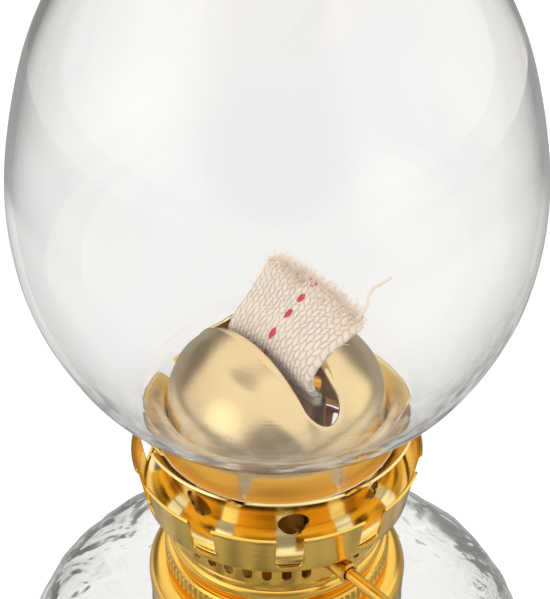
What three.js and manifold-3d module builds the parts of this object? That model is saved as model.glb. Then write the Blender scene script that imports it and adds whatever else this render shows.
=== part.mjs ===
// Table lamp that burns oil: a pressed glass font, a flat wick burner of thin brass and an egg shaped chimney.
// Millimetres, +Z up, the origin on the table under the middle of the font.
import * as THREE from 'three';
import { mergeVertices } from 'three/addons/utils/BufferGeometryUtils.js';
import Module from 'manifold-3d';

const wasm = await Module();
wasm.setup();

// Driving dimensions of the whole lamp
const CLEARANCE = 0.3;
const OVERRUN = 5;
const SEAT = 0.3;

// Glass font
const FONT_RADIUS = 70.5;
const FONT_HEIGHT = 88;
const BELLY_HEIGHT = 65;
const FONT_WALL = 4;
const FOOT_RADIUS = 48;
const FOOT_HEIGHT = 6;
const FOOT_WAIST = 1.5;
const FOOT_RIM = 7;
const PUNT_DEPTH = 2.5;
const NECK_RADIUS = 31;
const NECK_WALL = 3.4;
const NECK_HEIGHT = 13;
const NECK_FILLET = 2.6;
const NECK_PART_RADIUS = 40;

// Brass collar cemented to the neck
const COLLAR_RADIUS = 35.2;
const COLLAR_HEIGHT = 15.6;
const COLLAR_SHEET = 0.9;
const COLLAR_LIP = 0.7;
const COLLAR_SHOULDER = 4;
const COLLAR_BORE = 25.6;
const COLLAR_SLEEVE = 10;

// Burner base: milled screw ring, base plate with its bead
const RING_RADIUS = 30.6;
const RING_HEIGHT = 7;
const RING_LEDGE = 1.6;
const RING_TEETH = 44;
const MILLING_DEPTH = 0.7;
const SKIRT_WALL = 0.8;
const SKIRT_LENGTH = 9;
const THREAD_CLEARANCE = 0.45;
const BEAD_RADIUS = 29.6;
const BEAD_HEIGHT = 4.6;
const PLATE_SHEET = 0.8;

// Air basket
const BASKET_HEIGHT = 14.8;
const BASKET_FOOT_RADIUS = 29;
const BASKET_TOP_RADIUS = 30.4;
const BASKET_SHEET = 0.6;
const BASKET_SLOTS = 36;
const SLOT_WIDTH = 2.6;
const SLOT_MARGIN_LOW = 4;
const SLOT_MARGIN_HIGH = 1.3;

// Crown of sprung petals
const CROWN_FOOT_RADIUS = 34.6;
const CROWN_WAIST_RADIUS = 28.9;
const CROWN_WAIST_HEIGHT = 7;
const CROWN_WALL_HEIGHT = 5.6;
const CROWN_FLARE_HEIGHT = 10.4;
const CROWN_WALL_LEAN = 14 * Math.PI / 180;
const CROWN_TIP_RADIUS = 38.8;
const CROWN_SHEET = 0.7;
const PETALS = 7;
const PETAL_PHASE = 8.2 * Math.PI / 180;
const PETAL_CORNER = 3;
const SLIT_TOP_WIDTH = 3.6;
const SLIT_FOOT_WIDTH = 1.6;
const SLIT_DEPTH = 10;
const VENT_HOLE_RADIUS = 4.05;
const VENT_HOLE_RISE = 9;

// Gallery band with its lugs
const BAND_RADIUS = 35.5;
const BAND_HEIGHT = 12.4;
const BAND_LEAN = 10.5 * Math.PI / 180;
const BAND_SHEET = 0.7;
const BAND_FLANGE = 2.2;
const BAND_LIP = 0.8;
const BAND_LUGS = 10;
const BAND_PHASE = 5 * Math.PI / 180;
const NOTCH_WIDTH = 7;
const NOTCH_SILL = 1.5;

// Draft deflector over the flame
const DEFLECTOR_RADIUS = 29.2;
const DEFLECTOR_SHEET = 0.6;
const DEFLECTOR_RISE = 19.3;
const FLAME_SLOT_HALF_LENGTH = 24.4;
const FLAME_SLOT_HALF_WIDTH = 4.8;

// Flat wick and its tube
const WICK_AZIMUTH = 50 * Math.PI / 180;
const WICK_WIDTH = 34;
const WICK_THICKNESS = 3;
const WICK_TAIL_END = 33;
const WICK_SHOWN = 16;
const WICK_LEAN = 57 * Math.PI / 180;
const WICK_BEND_RADIUS = 6;
const WICK_JOINT_RISE = 2;
const TUBE_WALL = 0.6;
const TUBE_PLAY = 0.4;
const TUBE_ABOVE_PLATE = 50;
const TUBE_BELOW_PLATE = 21;
const TUBE_FLANGE_WIDTH = 1.8;
const TUBE_FLANGE_HEIGHT = 1.4;
const VENT_TUBE_RADIUS = 2.2;
const VENT_TUBE_WALL = 0.5;
const VENT_TUBE_OFFSET = 9;
const VENT_TUBE_ABOVE_PLATE = 24;
const VENT_TUBE_BELOW_PLATE = 6;

// Wick winder
const SPINDLE_RADIUS = 1.6;
const BEARING_CLEARANCE = 0.08;
const SPINDLE_RISE = 9;
const SPINDLE_REACH = 69;
const SPINDLE_END = 16.4;
const WHEEL_RADIUS = 4.2;
const WHEEL_TEETH = 12;
const WHEEL_TOOTH = 1.1;
const WHEEL_THICKNESS = 1;
const WHEEL_COUNT = 4;
const WHEEL_PITCH = 8;
const CAGE_SHEET = 0.6;
const CAGE_PLAY = 1.4;
const CAGE_FLANGE = 4;
const CAGE_END_PLAY = 1.6;
const RIVET_RADIUS = 0.8;
const RIVET_HEAD = 1.5;
const RIVET_HEAD_HEIGHT = 0.8;
const SLEEVE_WALL = 1;
const SLEEVE_LENGTH = 15;
const SLEEVE_START = 21;
const WASHER_RADIUS = 3;
const WASHER_THICKNESS = 0.6;
const KNOB_RADIUS = 9;
const KNOB_THICKNESS = 3;
const KNOB_FLUTES = 30;
const KNOB_FLUTE_DEPTH = 0.6;
const KNOB_CAP_RADIUS = 7;
const KNOB_CAP_HEIGHT = 1.3;
const KNOB_HUB_RADIUS = 3.2;
const KNOB_HUB_LENGTH = 4;

// Glass chimney
const CHIMNEY_HEIGHT = 195;
const CHIMNEY_WALL = 2;
const CHIMNEY_EDGE = 0.6;
const BULB_RADIUS = 65;
const BULB_HEIGHT = 75;
const FITTER_RADIUS = 31.9;
const FITTER_HEIGHT = 9;
const CHIMNEY_TOP_RADIUS = 28.5;

// Rounding and mesh steps
const TURN_STEPS = 28;
const SMALL_STEPS = 12;
const ROUND_STEPS = 6;

// Heights that follow from the sizes above
const collarFoot = FONT_HEIGHT + SEAT;
const collarTop = collarFoot + COLLAR_HEIGHT;
const ringFoot = collarTop + SEAT;
const ringTop = ringFoot + RING_HEIGHT;
const plateFoot = ringTop + SEAT;
const plateTop = plateFoot + BEAD_HEIGHT;
const basketFoot = plateTop + SEAT;
const basketTop = basketFoot + BASKET_HEIGHT;
// The basket's top edge meets the curved foot of the crown from below
const footReach = (CROWN_FOOT_RADIUS - BASKET_TOP_RADIUS - CROWN_SHEET) / (CROWN_FOOT_RADIUS - CROWN_WAIST_RADIUS);
const footRiseAtBasket = CROWN_WAIST_HEIGHT * (1 - Math.sqrt(1 - footReach ** 2));
const crownFoot = basketTop - footRiseAtBasket + CROWN_SHEET + SEAT;
const bandFoot = crownFoot - CROWN_SHEET - SEAT - BAND_SHEET;
const crownWaist = crownFoot + CROWN_WAIST_HEIGHT;
const crownShoulder = crownWaist + CROWN_WALL_HEIGHT;
const crownTop = crownShoulder + CROWN_FLARE_HEIGHT;
const deflectorCentre = crownFoot + DEFLECTOR_RISE;
const spindleHeight = plateTop + SPINDLE_RISE;
const spindleOffset = WICK_THICKNESS / 2 + CLEARANCE + WHEEL_RADIUS;
const tubeOuterHalf = WICK_THICKNESS / 2 + TUBE_PLAY + TUBE_WALL;
const tubeHalfWidth = WICK_WIDTH / 2 + TUBE_PLAY + TUBE_WALL;
const tubeTop = plateTop + TUBE_ABOVE_PLATE;
const sleeveRadius = SPINDLE_RADIUS + BEARING_CLEARANCE + SLEEVE_WALL;

// Where the crown's flare bends, as shares of its width and rise
const flareHandleShare = 0.22;
const flareRiseShare = 0.62;

const finishes = {
  glass: { color: 0xdfe6e6, roughness: 0.04, metalness: 0, transparent: true, opacity: 0.35 },
  brass: { color: 0xd8a544, roughness: 0.22, metalness: 1 },
  satin: { color: 0xdcc79a, roughness: 0.42, metalness: 1 },
  cement: { color: 0xd9d3c4, roughness: 0.95, metalness: 0 },
  cotton: { color: 0xe6d8c8, roughness: 0.95, metalness: 0 },
};

const lamp = new THREE.Group();
// Everything that lines up with the flat wick is built with the wick's width along X
const wickFrame = new THREE.Group();
wickFrame.rotation.z = -WICK_AZIMUTH;
lamp.add(wickFrame);

function signedVolume(position, index) {
  let volume = 0;
  const a = new THREE.Vector3();
  const b = new THREE.Vector3();
  const c = new THREE.Vector3();
  for (let i = 0; i < index.length; i += 3) {
    a.fromBufferAttribute(position, index[i]);
    b.fromBufferAttribute(position, index[i + 1]);
    c.fromBufferAttribute(position, index[i + 2]);
    volume += a.dot(b.cross(c));
  }
  return volume;
}

// One closed mesh with shared vertices, no empty triangles and its faces outward
function closed(geometry) {
  geometry.deleteAttribute('normal');
  geometry.deleteAttribute('uv');
  const merged = mergeVertices(geometry, 1e-4);
  const index = [];
  const source = merged.index.array;
  for (let i = 0; i < source.length; i += 3) {
    const [a, b, c] = source.slice(i, i + 3);
    if (a !== b && b !== c && c !== a) index.push(a, b, c);
  }
  if (signedVolume(merged.attributes.position, index) < 0) index.reverse();
  merged.setIndex(index);
  return merged;
}

function toSolid(geometry) {
  const mesh = closed(geometry);
  return new wasm.Manifold(new wasm.Mesh({
    numProp: 3,
    vertProperties: new Float32Array(mesh.attributes.position.array),
    triVerts: new Uint32Array(mesh.index.array),
  }));
}

function toGeometry(solid) {
  const mesh = solid.getMesh();
  const geometry = new THREE.BufferGeometry();
  geometry.setAttribute('position', new THREE.BufferAttribute(new Float32Array(mesh.vertProperties), 3));
  geometry.setIndex(new THREE.BufferAttribute(new Uint32Array(mesh.triVerts), 1));
  return geometry;
}

function cut(geometry, tools) {
  return toGeometry(tools.reduce((solid, tool) => solid.subtract(toSolid(tool)), toSolid(geometry)));
}

function join(geometry, others) {
  return toGeometry(others.reduce((solid, other) => solid.add(toSolid(other)), toSolid(geometry)));
}

function piece(name, geometry, finish, parent = lamp) {
  const mesh = new THREE.Mesh(closed(geometry), new THREE.MeshStandardMaterial(finishes[finish]));
  mesh.name = name;
  mesh.geometry.computeVertexNormals();
  parent.add(mesh);
  return mesh;
}

const at = (r, z) => new THREE.Vector2(r, z);

// Points on an ellipse's arc in the profile plane, angles in radians
function arc(r, z, sizeR, sizeZ, start, end, steps = ROUND_STEPS) {
  const points = [];
  for (let i = 0; i <= steps; i++) {
    const angle = start + (end - start) * i / steps;
    points.push(at(r + sizeR * Math.cos(angle), z + sizeZ * Math.sin(angle)));
  }
  return points;
}

// The section of a sheet: its outline, and the same line set over by the wall to the left of its travel
function sheetSection(outline, wall) {
  const inner = outline.map((point, i) => {
    const before = outline[Math.max(i - 1, 0)];
    const after = outline[Math.min(i + 1, outline.length - 1)];
    const along = after.clone().sub(before).normalize();
    return at(point.x - along.y * wall, point.y + along.x * wall);
  });
  return [...outline, ...inner.reverse(), outline[0].clone()];
}

// Turned about Z
function turned(section, steps = TURN_STEPS) {
  return new THREE.LatheGeometry(section, steps).rotateX(Math.PI / 2);
}

function ringSection(inner, outer, foot, top) {
  return [at(inner, foot), at(outer, foot), at(outer, top), at(inner, top), at(inner, foot)];
}

function prism(shape, depth, curveSegments = ROUND_STEPS) {
  return new THREE.ExtrudeGeometry(shape, { depth, bevelEnabled: false, curveSegments, steps: 1 });
}

// A flat slot's outline with round ends, its length along X
function stadium(halfLength, halfWidth) {
  const shape = new THREE.Shape();
  const straight = halfLength - halfWidth;
  shape.moveTo(-straight, -halfWidth);
  shape.lineTo(straight, -halfWidth);
  shape.absarc(straight, 0, halfWidth, -Math.PI / 2, Math.PI / 2);
  shape.lineTo(-straight, halfWidth);
  shape.absarc(-straight, 0, halfWidth, Math.PI / 2, Math.PI * 1.5);
  return shape;
}

// A cutter drawn as (tangent, height), pushed outward from the axis at one azimuth, counted from the front
function radial(shape, azimuth, near, far, height, steps = 2) {
  const geometry = prism(shape, far - near, steps);
  geometry.rotateX(Math.PI / 2);
  geometry.translate(0, -near, height);
  return geometry.rotateZ(azimuth);
}

function circle(radius) {
  const shape = new THREE.Shape();
  shape.absarc(0, 0, radius, 0, Math.PI * 2);
  return shape;
}

// A bar or tube along the wick's width, the spindle's direction, from one place to another
function alongSpindle(section, from, to, steps = ROUND_STEPS) {
  const geometry = prism(section, to - from, steps);
  geometry.rotateY(Math.PI / 2);
  return geometry.translate(from, -spindleOffset, spindleHeight);
}

// Turned about the spindle: the profile's height runs along the spindle
function turnedOnSpindle(section, from, steps = TURN_STEPS) {
  const geometry = turned(section, steps);
  geometry.rotateY(Math.PI / 2);
  return geometry.translate(from, -spindleOffset, spindleHeight);
}

function box(sizeX, sizeY, sizeZ, x, y, z) {
  return new THREE.BoxGeometry(sizeX, sizeY, sizeZ).translate(x, y, z);
}

// Font: a squat bowl on a low foot, hollow, open at its neck
function fontOutline() {
  const waist = FOOT_RADIUS - FOOT_WAIST;
  return [
    at(0, PUNT_DEPTH),
    at(FOOT_RADIUS - FOOT_RIM - PUNT_DEPTH, PUNT_DEPTH),
    at(FOOT_RADIUS - FOOT_RIM, 0),
    ...arc(FOOT_RADIUS - FOOT_WAIST, FOOT_WAIST, FOOT_WAIST, FOOT_WAIST, -Math.PI / 2, 0, 2),
    at(waist, FOOT_HEIGHT - FOOT_WAIST),
    ...arc(waist, BELLY_HEIGHT, FONT_RADIUS - waist, BELLY_HEIGHT - FOOT_HEIGHT, -Math.PI / 2, 0, 6),
    ...arc(collarSeatRadius, BELLY_HEIGHT, FONT_RADIUS - collarSeatRadius, FONT_HEIGHT - BELLY_HEIGHT,
      0, Math.PI / 2, 6).slice(1),
    ...arc(NECK_RADIUS + NECK_FILLET, FONT_HEIGHT + NECK_FILLET, NECK_FILLET, NECK_FILLET,
      -Math.PI / 2, -Math.PI, 2),
    at(NECK_RADIUS, FONT_HEIGHT + NECK_HEIGHT),
  ];
}

const collarSeatRadius = COLLAR_RADIUS - COLLAR_LIP;
const neckBore = NECK_RADIUS - NECK_WALL;

function fontSection() {
  const floor = PUNT_DEPTH + FONT_WALL;
  const bellyBore = FONT_RADIUS - FONT_WALL;
  const floorRadius = FOOT_RADIUS - FOOT_WAIST - FONT_WALL;
  const roof = FONT_HEIGHT - FONT_WALL;
  return [
    ...fontOutline(),
    at(neckBore, FONT_HEIGHT + NECK_HEIGHT),
    at(neckBore, roof),
    ...arc(neckBore, BELLY_HEIGHT, bellyBore - neckBore, roof - BELLY_HEIGHT, Math.PI / 2, 0, 4).slice(1),
    ...arc(floorRadius, BELLY_HEIGHT, bellyBore - floorRadius, BELLY_HEIGHT - floor - FOOT_WAIST,
      0, -Math.PI / 2, 4).slice(1),
    at(floorRadius - FOOT_RIM, floor),
    at(0, floor),
  ];
}

// The glass is one pressing. Its floor, shoulder and neck are solids of their own, so every hollow stays open
function disc(radius, foot, top) {
  return turned([at(0, foot), at(radius, foot), at(radius, top), at(0, top)]);
}

const glass = turned(fontSection());
const floorTop = PUNT_DEPTH + FONT_WALL + FOOT_WAIST;
const aboveGlass = FONT_HEIGHT + NECK_HEIGHT + OVERRUN;
const besideGlass = FONT_RADIUS + OVERRUN;
piece('font', cut(glass, [
  disc(besideGlass, -OVERRUN, floorTop + SEAT / 2),
  disc(besideGlass, BELLY_HEIGHT - SEAT / 2, aboveGlass),
]), 'glass');
piece('font_shoulder', cut(glass, [
  disc(besideGlass, -OVERRUN, BELLY_HEIGHT + SEAT / 2),
  disc(NECK_PART_RADIUS + SEAT / 2, BELLY_HEIGHT, aboveGlass),
]), 'glass');
piece('font_floor', cut(glass, [disc(besideGlass, floorTop - SEAT / 2, aboveGlass)]), 'glass');
piece('font_neck', cut(glass, [
  disc(besideGlass, -OVERRUN, BELLY_HEIGHT),
  turned(ringSection(NECK_PART_RADIUS - SEAT / 2, besideGlass, BELLY_HEIGHT - OVERRUN, aboveGlass)),
]), 'glass');

// Collar: a spun brass shell with a rounded shoulder and a threaded sleeve, held on the neck by cement
function collarSection() {
  const outline = [
    at(COLLAR_RADIUS - COLLAR_LIP, collarFoot),
    ...arc(COLLAR_RADIUS - COLLAR_SHOULDER, collarTop - COLLAR_SHOULDER - COLLAR_LIP,
      COLLAR_SHOULDER, COLLAR_SHOULDER + COLLAR_LIP, 0, Math.PI / 2, 4),
    at(COLLAR_BORE + COLLAR_SHEET, collarTop),
    at(COLLAR_BORE, collarTop - COLLAR_SHEET),
    at(COLLAR_BORE, collarTop - COLLAR_SLEEVE),
  ];
  return [
    ...outline,
    at(COLLAR_BORE + COLLAR_SHEET, collarTop - COLLAR_SLEEVE),
    at(COLLAR_BORE + COLLAR_SHEET, collarTop - 2 * COLLAR_SHEET),
    ...arc(COLLAR_RADIUS - COLLAR_SHOULDER, collarTop - COLLAR_SHOULDER - COLLAR_LIP,
      COLLAR_SHOULDER - COLLAR_SHEET, COLLAR_SHOULDER + COLLAR_LIP - COLLAR_SHEET, Math.PI / 2, 0, 3),
    at(COLLAR_RADIUS - COLLAR_LIP - COLLAR_SHEET, collarFoot),
    outline[0].clone(),
  ];
}
piece('font_collar', turned(collarSection()), 'brass');

const cementOuter = COLLAR_RADIUS - COLLAR_LIP - COLLAR_SHEET - CLEARANCE;
const cementInner = NECK_RADIUS + CLEARANCE;
piece('collar_cement', turned([
  at(cementInner, FONT_HEIGHT + NECK_FILLET),
  at(cementOuter, FONT_HEIGHT + NECK_FILLET - COLLAR_LIP),
  at(cementOuter, collarTop - COLLAR_SHOULDER - COLLAR_LIP),
  at(cementInner, collarTop - COLLAR_SHOULDER),
  at(cementInner, FONT_HEIGHT + NECK_FILLET),
]), 'cement');

// Screw ring: a milled grip that stands on the collar, with its threaded skirt inside the collar's sleeve
function milledOutline(radius, depth, count) {
  const shape = new THREE.Shape();
  for (let i = 0; i < count * 2; i++) {
    const r = i % 2 ? radius - depth : radius;
    const angle = Math.PI * i / count;
    const [x, y] = [r * Math.cos(angle), r * Math.sin(angle)];
    if (i) shape.lineTo(x, y);
    else shape.moveTo(x, y);
  }
  shape.closePath();
  return shape;
}

const skirtRadius = COLLAR_BORE - THREAD_CLEARANCE;
const skirtBore = skirtRadius - SKIRT_WALL;
function screwRing() {
  const grip = prism(milledOutline(RING_RADIUS, MILLING_DEPTH, RING_TEETH), RING_HEIGHT - 2 * RING_LEDGE);
  grip.translate(0, 0, ringFoot + RING_LEDGE);
  const rim = turned([
    at(0, ringFoot),
    at(RING_RADIUS - MILLING_DEPTH - RING_LEDGE, ringFoot),
    at(RING_RADIUS - MILLING_DEPTH, ringFoot + RING_LEDGE),
    at(RING_RADIUS - MILLING_DEPTH, ringTop - RING_LEDGE),
    at(RING_RADIUS - MILLING_DEPTH - RING_LEDGE, ringTop),
    at(0, ringTop),
  ]);
  const skirt = turned([
    at(0, ringFoot - SKIRT_LENGTH),
    at(skirtRadius, ringFoot - SKIRT_LENGTH),
    at(skirtRadius, ringFoot + RING_LEDGE),
    at(0, ringFoot + RING_LEDGE),
  ]);
  const bore = turned([
    at(0, ringFoot - SKIRT_LENGTH - OVERRUN),
    at(skirtBore, ringFoot - SKIRT_LENGTH - OVERRUN),
    at(skirtBore, ringTop + OVERRUN),
    at(0, ringTop + OVERRUN),
  ]);
  return cut(join(grip, [rim, skirt]), [bore]);
}
piece('screw_ring', screwRing(), 'brass');

// Base plate: a disc with a rolled bead, which closes the font and carries the wick tube
function basePlate() {
  const beadMiddle = (plateFoot + plateTop) / 2;
  const disc = turned([
    at(0, plateTop - PLATE_SHEET),
    at(BEAD_RADIUS - BEAD_HEIGHT / 2 - PLATE_SHEET, plateTop - PLATE_SHEET),
    at(BEAD_RADIUS - BEAD_HEIGHT / 2 - PLATE_SHEET, plateFoot),
    ...arc(BEAD_RADIUS - BEAD_HEIGHT / 2, beadMiddle, BEAD_HEIGHT / 2, BEAD_HEIGHT / 2,
      -Math.PI / 2, Math.PI / 2, 5),
    at(0, plateTop),
  ]);
  const tubeHole = prism(
    stadium(tubeHalfWidth + CLEARANCE, tubeOuterHalf + CLEARANCE), BEAD_HEIGHT + OVERRUN, 4,
  );
  tubeHole.translate(0, 0, plateFoot - CLEARANCE);
  const ventHole = prism(circle(VENT_TUBE_RADIUS + CLEARANCE), BEAD_HEIGHT + OVERRUN, 5);
  ventHole.translate(0, VENT_TUBE_OFFSET, plateFoot - CLEARANCE);
  return cut(disc, [tubeHole, ventHole]);
}
piece('base_plate', basePlate(), 'brass', wickFrame);

// Air basket: a slightly flared wall with upright slots that let the air in under the flame
function airBasket() {
  const outline = [
    at(BASKET_FOOT_RADIUS, basketFoot),
    at(BASKET_TOP_RADIUS, basketTop),
  ];
  const wall = turned(sheetSection(outline, BASKET_SHEET), BASKET_SLOTS);
  const slotLength = BASKET_HEIGHT - SLOT_MARGIN_LOW - SLOT_MARGIN_HIGH;
  const slotMiddle = basketFoot + SLOT_MARGIN_LOW + slotLength / 2;
  // The wall stays plain where the spindle's sleeve leaves it
  const sleeveAzimuth = Math.acos(spindleOffset / BASKET_FOOT_RADIUS);
  const plainHalf = (sleeveRadius + SLOT_WIDTH) / BASKET_FOOT_RADIUS;
  const tools = [];
  for (let i = 0; i < BASKET_SLOTS; i++) {
    const azimuth = Math.PI * (2 * i + 1) / BASKET_SLOTS;
    if (Math.abs(azimuth - sleeveAzimuth) < plainHalf) continue;
    const slot = prism(stadium(slotLength / 2, SLOT_WIDTH / 2), BASKET_TOP_RADIUS, 1);
    slot.rotateZ(Math.PI / 2).rotateX(Math.PI / 2);
    slot.translate(0, -BASKET_FOOT_RADIUS / 2, slotMiddle);
    tools.push(slot.rotateZ(azimuth));
  }
  const sleeveHole = alongSpindle(circle(sleeveRadius + CLEARANCE), SLEEVE_START, BASKET_TOP_RADIUS + OVERRUN);
  return cut(wall, [...tools, sleeveHole]);
}
piece('air_basket', airBasket(), 'brass', wickFrame);

// Gallery band: leaning outward, notched from its top edge into lugs, each with a small bent lip
function galleryBand() {
  const rise = BAND_HEIGHT - BAND_SHEET;
  const topRadius = BAND_RADIUS + rise * Math.tan(BAND_LEAN);
  const outline = [
    at(BAND_RADIUS - BAND_FLANGE, bandFoot),
    at(BAND_RADIUS - BAND_SHEET / 2, bandFoot),
    at(BAND_RADIUS, bandFoot + BAND_SHEET),
    at(topRadius, bandFoot + BAND_HEIGHT),
    at(topRadius + BAND_LIP, bandFoot + BAND_HEIGHT + BAND_LIP),
  ];
  const band = turned(sheetSection(outline, BAND_SHEET), 3 * BAND_LUGS);
  const notchFoot = bandFoot + BAND_SHEET + NOTCH_SILL;
  const half = NOTCH_WIDTH / 2;
  const notch = new THREE.Shape();
  notch.moveTo(half, half);
  notch.lineTo(half, BAND_HEIGHT + OVERRUN);
  notch.lineTo(-half, BAND_HEIGHT + OVERRUN);
  notch.lineTo(-half, half);
  notch.absarc(0, half, half, Math.PI, Math.PI * 2);
  const tools = [];
  for (let i = 0; i < BAND_LUGS; i++) {
    const azimuth = BAND_PHASE + Math.PI * 2 * i / BAND_LUGS;
    tools.push(radial(notch, azimuth, BAND_RADIUS - BAND_FLANGE, topRadius + OVERRUN, notchFoot));
  }
  return cut(band, tools);
}
piece('gallery_band', galleryBand(), 'brass');

// Crown: one thin pressing, curved out to its foot, holed, and slit into petals that grip the chimney
function crownOutline() {
  const wallRadius = CROWN_WAIST_RADIUS + CROWN_WALL_HEIGHT * Math.tan(CROWN_WALL_LEAN);
  const flare = CROWN_TIP_RADIUS - wallRadius;
  return [
    ...arc(CROWN_FOOT_RADIUS, crownWaist, CROWN_FOOT_RADIUS - CROWN_WAIST_RADIUS, CROWN_WAIST_HEIGHT,
      -Math.PI / 2, -Math.PI, 3),
    ...new THREE.QuadraticBezierCurve(
      at(wallRadius, crownShoulder),
      at(wallRadius + flare * flareHandleShare, crownShoulder + CROWN_FLARE_HEIGHT * flareRiseShare),
      at(CROWN_TIP_RADIUS, crownTop),
    ).getPoints(3),
  ];
}

// The height at which a line of the profile reaches a radius, counted from the line's far end
function heightAtRadius(line, radius) {
  for (let i = line.length - 1; i > 0; i--) {
    const [a, b] = [line[i - 1], line[i]];
    if (a.x <= radius && radius <= b.x) return a.y + (b.y - a.y) * (radius - a.x) / (b.x - a.x);
  }
  throw new Error('the profile does not reach this radius');
}
const crownLining = sheetSection(crownOutline(), CROWN_SHEET).slice(crownOutline().length, -1).reverse();

function crown() {
  const wall = turned(sheetSection(crownOutline(), CROWN_SHEET), PETALS * 5);
  const half = SLIT_FOOT_WIDTH / 2;
  const wide = SLIT_TOP_WIDTH / 2;
  const slit = new THREE.Shape();
  slit.moveTo(half, half);
  slit.lineTo(wide, SLIT_DEPTH - PETAL_CORNER);
  slit.quadraticCurveTo(wide, SLIT_DEPTH, wide + PETAL_CORNER, SLIT_DEPTH + CLEARANCE);
  slit.lineTo(wide + PETAL_CORNER, SLIT_DEPTH + OVERRUN);
  slit.lineTo(-wide - PETAL_CORNER, SLIT_DEPTH + OVERRUN);
  slit.lineTo(-wide - PETAL_CORNER, SLIT_DEPTH + CLEARANCE);
  slit.quadraticCurveTo(-wide, SLIT_DEPTH, -wide, SLIT_DEPTH - PETAL_CORNER);
  slit.lineTo(-half, half);
  slit.absarc(0, half, half, Math.PI, Math.PI * 2);
  const tools = [];
  for (let i = 0; i < PETALS; i++) {
    const petal = PETAL_PHASE + Math.PI * 2 * i / PETALS;
    const near = CROWN_WAIST_RADIUS / 2;
    const far = CROWN_TIP_RADIUS + OVERRUN;
    tools.push(radial(circle(VENT_HOLE_RADIUS), petal, near, far, crownFoot + VENT_HOLE_RISE, 6));
    tools.push(radial(slit, petal + Math.PI / PETALS, near, far, crownTop - SLIT_DEPTH));
  }
  return cut(wall, tools);
}
piece('crown', crown(), 'brass');

// Draft deflector: a dome with a flame slot over the wick
function draftDeflector() {
  const skirtFoot = heightAtRadius(crownLining, DEFLECTOR_RADIUS + CLEARANCE);
  const inner = DEFLECTOR_RADIUS - DEFLECTOR_SHEET;
  const dome = turned([
    at(DEFLECTOR_RADIUS, skirtFoot),
    ...arc(0, deflectorCentre, DEFLECTOR_RADIUS, DEFLECTOR_RADIUS, 0, Math.PI / 2),
    ...arc(0, deflectorCentre, inner, inner, Math.PI / 2, 0),
    at(inner, skirtFoot),
    at(DEFLECTOR_RADIUS, skirtFoot),
  ]);
  const slot = prism(stadium(FLAME_SLOT_HALF_LENGTH, FLAME_SLOT_HALF_WIDTH), DEFLECTOR_RADIUS, 4);
  slot.translate(0, 0, deflectorCentre + CLEARANCE);
  return cut(dome, [slot]);
}
piece('draft_deflector', draftDeflector(), 'satin', wickFrame);

// Wick tube: flat, with windows for the wheels, riveted to the winder's cage
const wheelPlaces = [];
for (let i = 0; i < WHEEL_COUNT; i++) wheelPlaces.push((i - (WHEEL_COUNT - 1) / 2) * WHEEL_PITCH);

const cageHalfHeight = WHEEL_RADIUS + CAGE_PLAY + CAGE_SHEET;
const cageHalfLength = WHEEL_PITCH * (WHEEL_COUNT - 1) / 2 + WHEEL_THICKNESS / 2 + CAGE_END_PLAY + CAGE_SHEET;
const cageNear = tubeOuterHalf + CLEARANCE;
const cageFar = spindleOffset + WHEEL_RADIUS + CAGE_PLAY + CAGE_SHEET;
const rivetHeight = spindleHeight + cageHalfHeight + CAGE_FLANGE / 2;
const rivetPlaces = [-WHEEL_PITCH, WHEEL_PITCH];

// A hole or shank through the tube's front wall, drawn along Y
function across(shape, x, z, near, far) {
  const geometry = prism(shape, far - near, 3);
  geometry.rotateX(Math.PI / 2);
  return geometry.translate(x, -near, z);
}

function wickTube() {
  const length = TUBE_ABOVE_PLATE + TUBE_BELOW_PLATE;
  const outer = prism(stadium(tubeHalfWidth, tubeOuterHalf), length, 4);
  outer.translate(0, 0, plateTop - TUBE_BELOW_PLATE);
  const bore = prism(stadium(tubeHalfWidth - TUBE_WALL, tubeOuterHalf - TUBE_WALL), length + 2 * OVERRUN, 4);
  bore.translate(0, 0, plateTop - TUBE_BELOW_PLATE - OVERRUN);
  const reach = spindleOffset - tubeOuterHalf;
  const windowHalf = Math.sqrt(WHEEL_RADIUS ** 2 - reach ** 2) + CLEARANCE;
  const windows = wheelPlaces.map((x) => box(
    WHEEL_THICKNESS + 2 * CLEARANCE, OVERRUN / 2, 2 * windowHalf,
    x, -tubeOuterHalf - OVERRUN / 4 + TUBE_WALL + CLEARANCE, spindleHeight,
  ));
  const rivetHoles = rivetPlaces.map((x) => across(
    circle(RIVET_RADIUS + CLEARANCE), x, rivetHeight,
    tubeOuterHalf - TUBE_WALL - CLEARANCE, tubeOuterHalf + OVERRUN,
  ));
  return cut(outer, [bore, ...windows, ...rivetHoles]);
}
piece('wick_tube', wickTube(), 'brass', wickFrame);

// Oval solder ring where the tube stands on the base plate
const flangeOuter = prism(
  stadium(tubeHalfWidth + CLEARANCE + TUBE_FLANGE_WIDTH, tubeOuterHalf + CLEARANCE + TUBE_FLANGE_WIDTH),
  TUBE_FLANGE_HEIGHT,
  4,
);
flangeOuter.translate(0, 0, plateTop + CLEARANCE);
const flangeBore = prism(stadium(tubeHalfWidth + CLEARANCE, tubeOuterHalf + CLEARANCE), 2 * OVERRUN, 4);
flangeBore.translate(0, 0, plateTop - OVERRUN / 2);
piece('tube_flange', cut(flangeOuter, [flangeBore]), 'brass', wickFrame);

// Vent tube that lets the vapour of the font reach the flame
const ventTube = turned(ringSection(
  VENT_TUBE_RADIUS - VENT_TUBE_WALL, VENT_TUBE_RADIUS,
  plateTop - VENT_TUBE_BELOW_PLATE, plateTop + VENT_TUBE_ABOVE_PLATE,
), SMALL_STEPS);
piece('vent_tube', ventTube.translate(0, VENT_TUBE_OFFSET, 0), 'brass', wickFrame);

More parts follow.
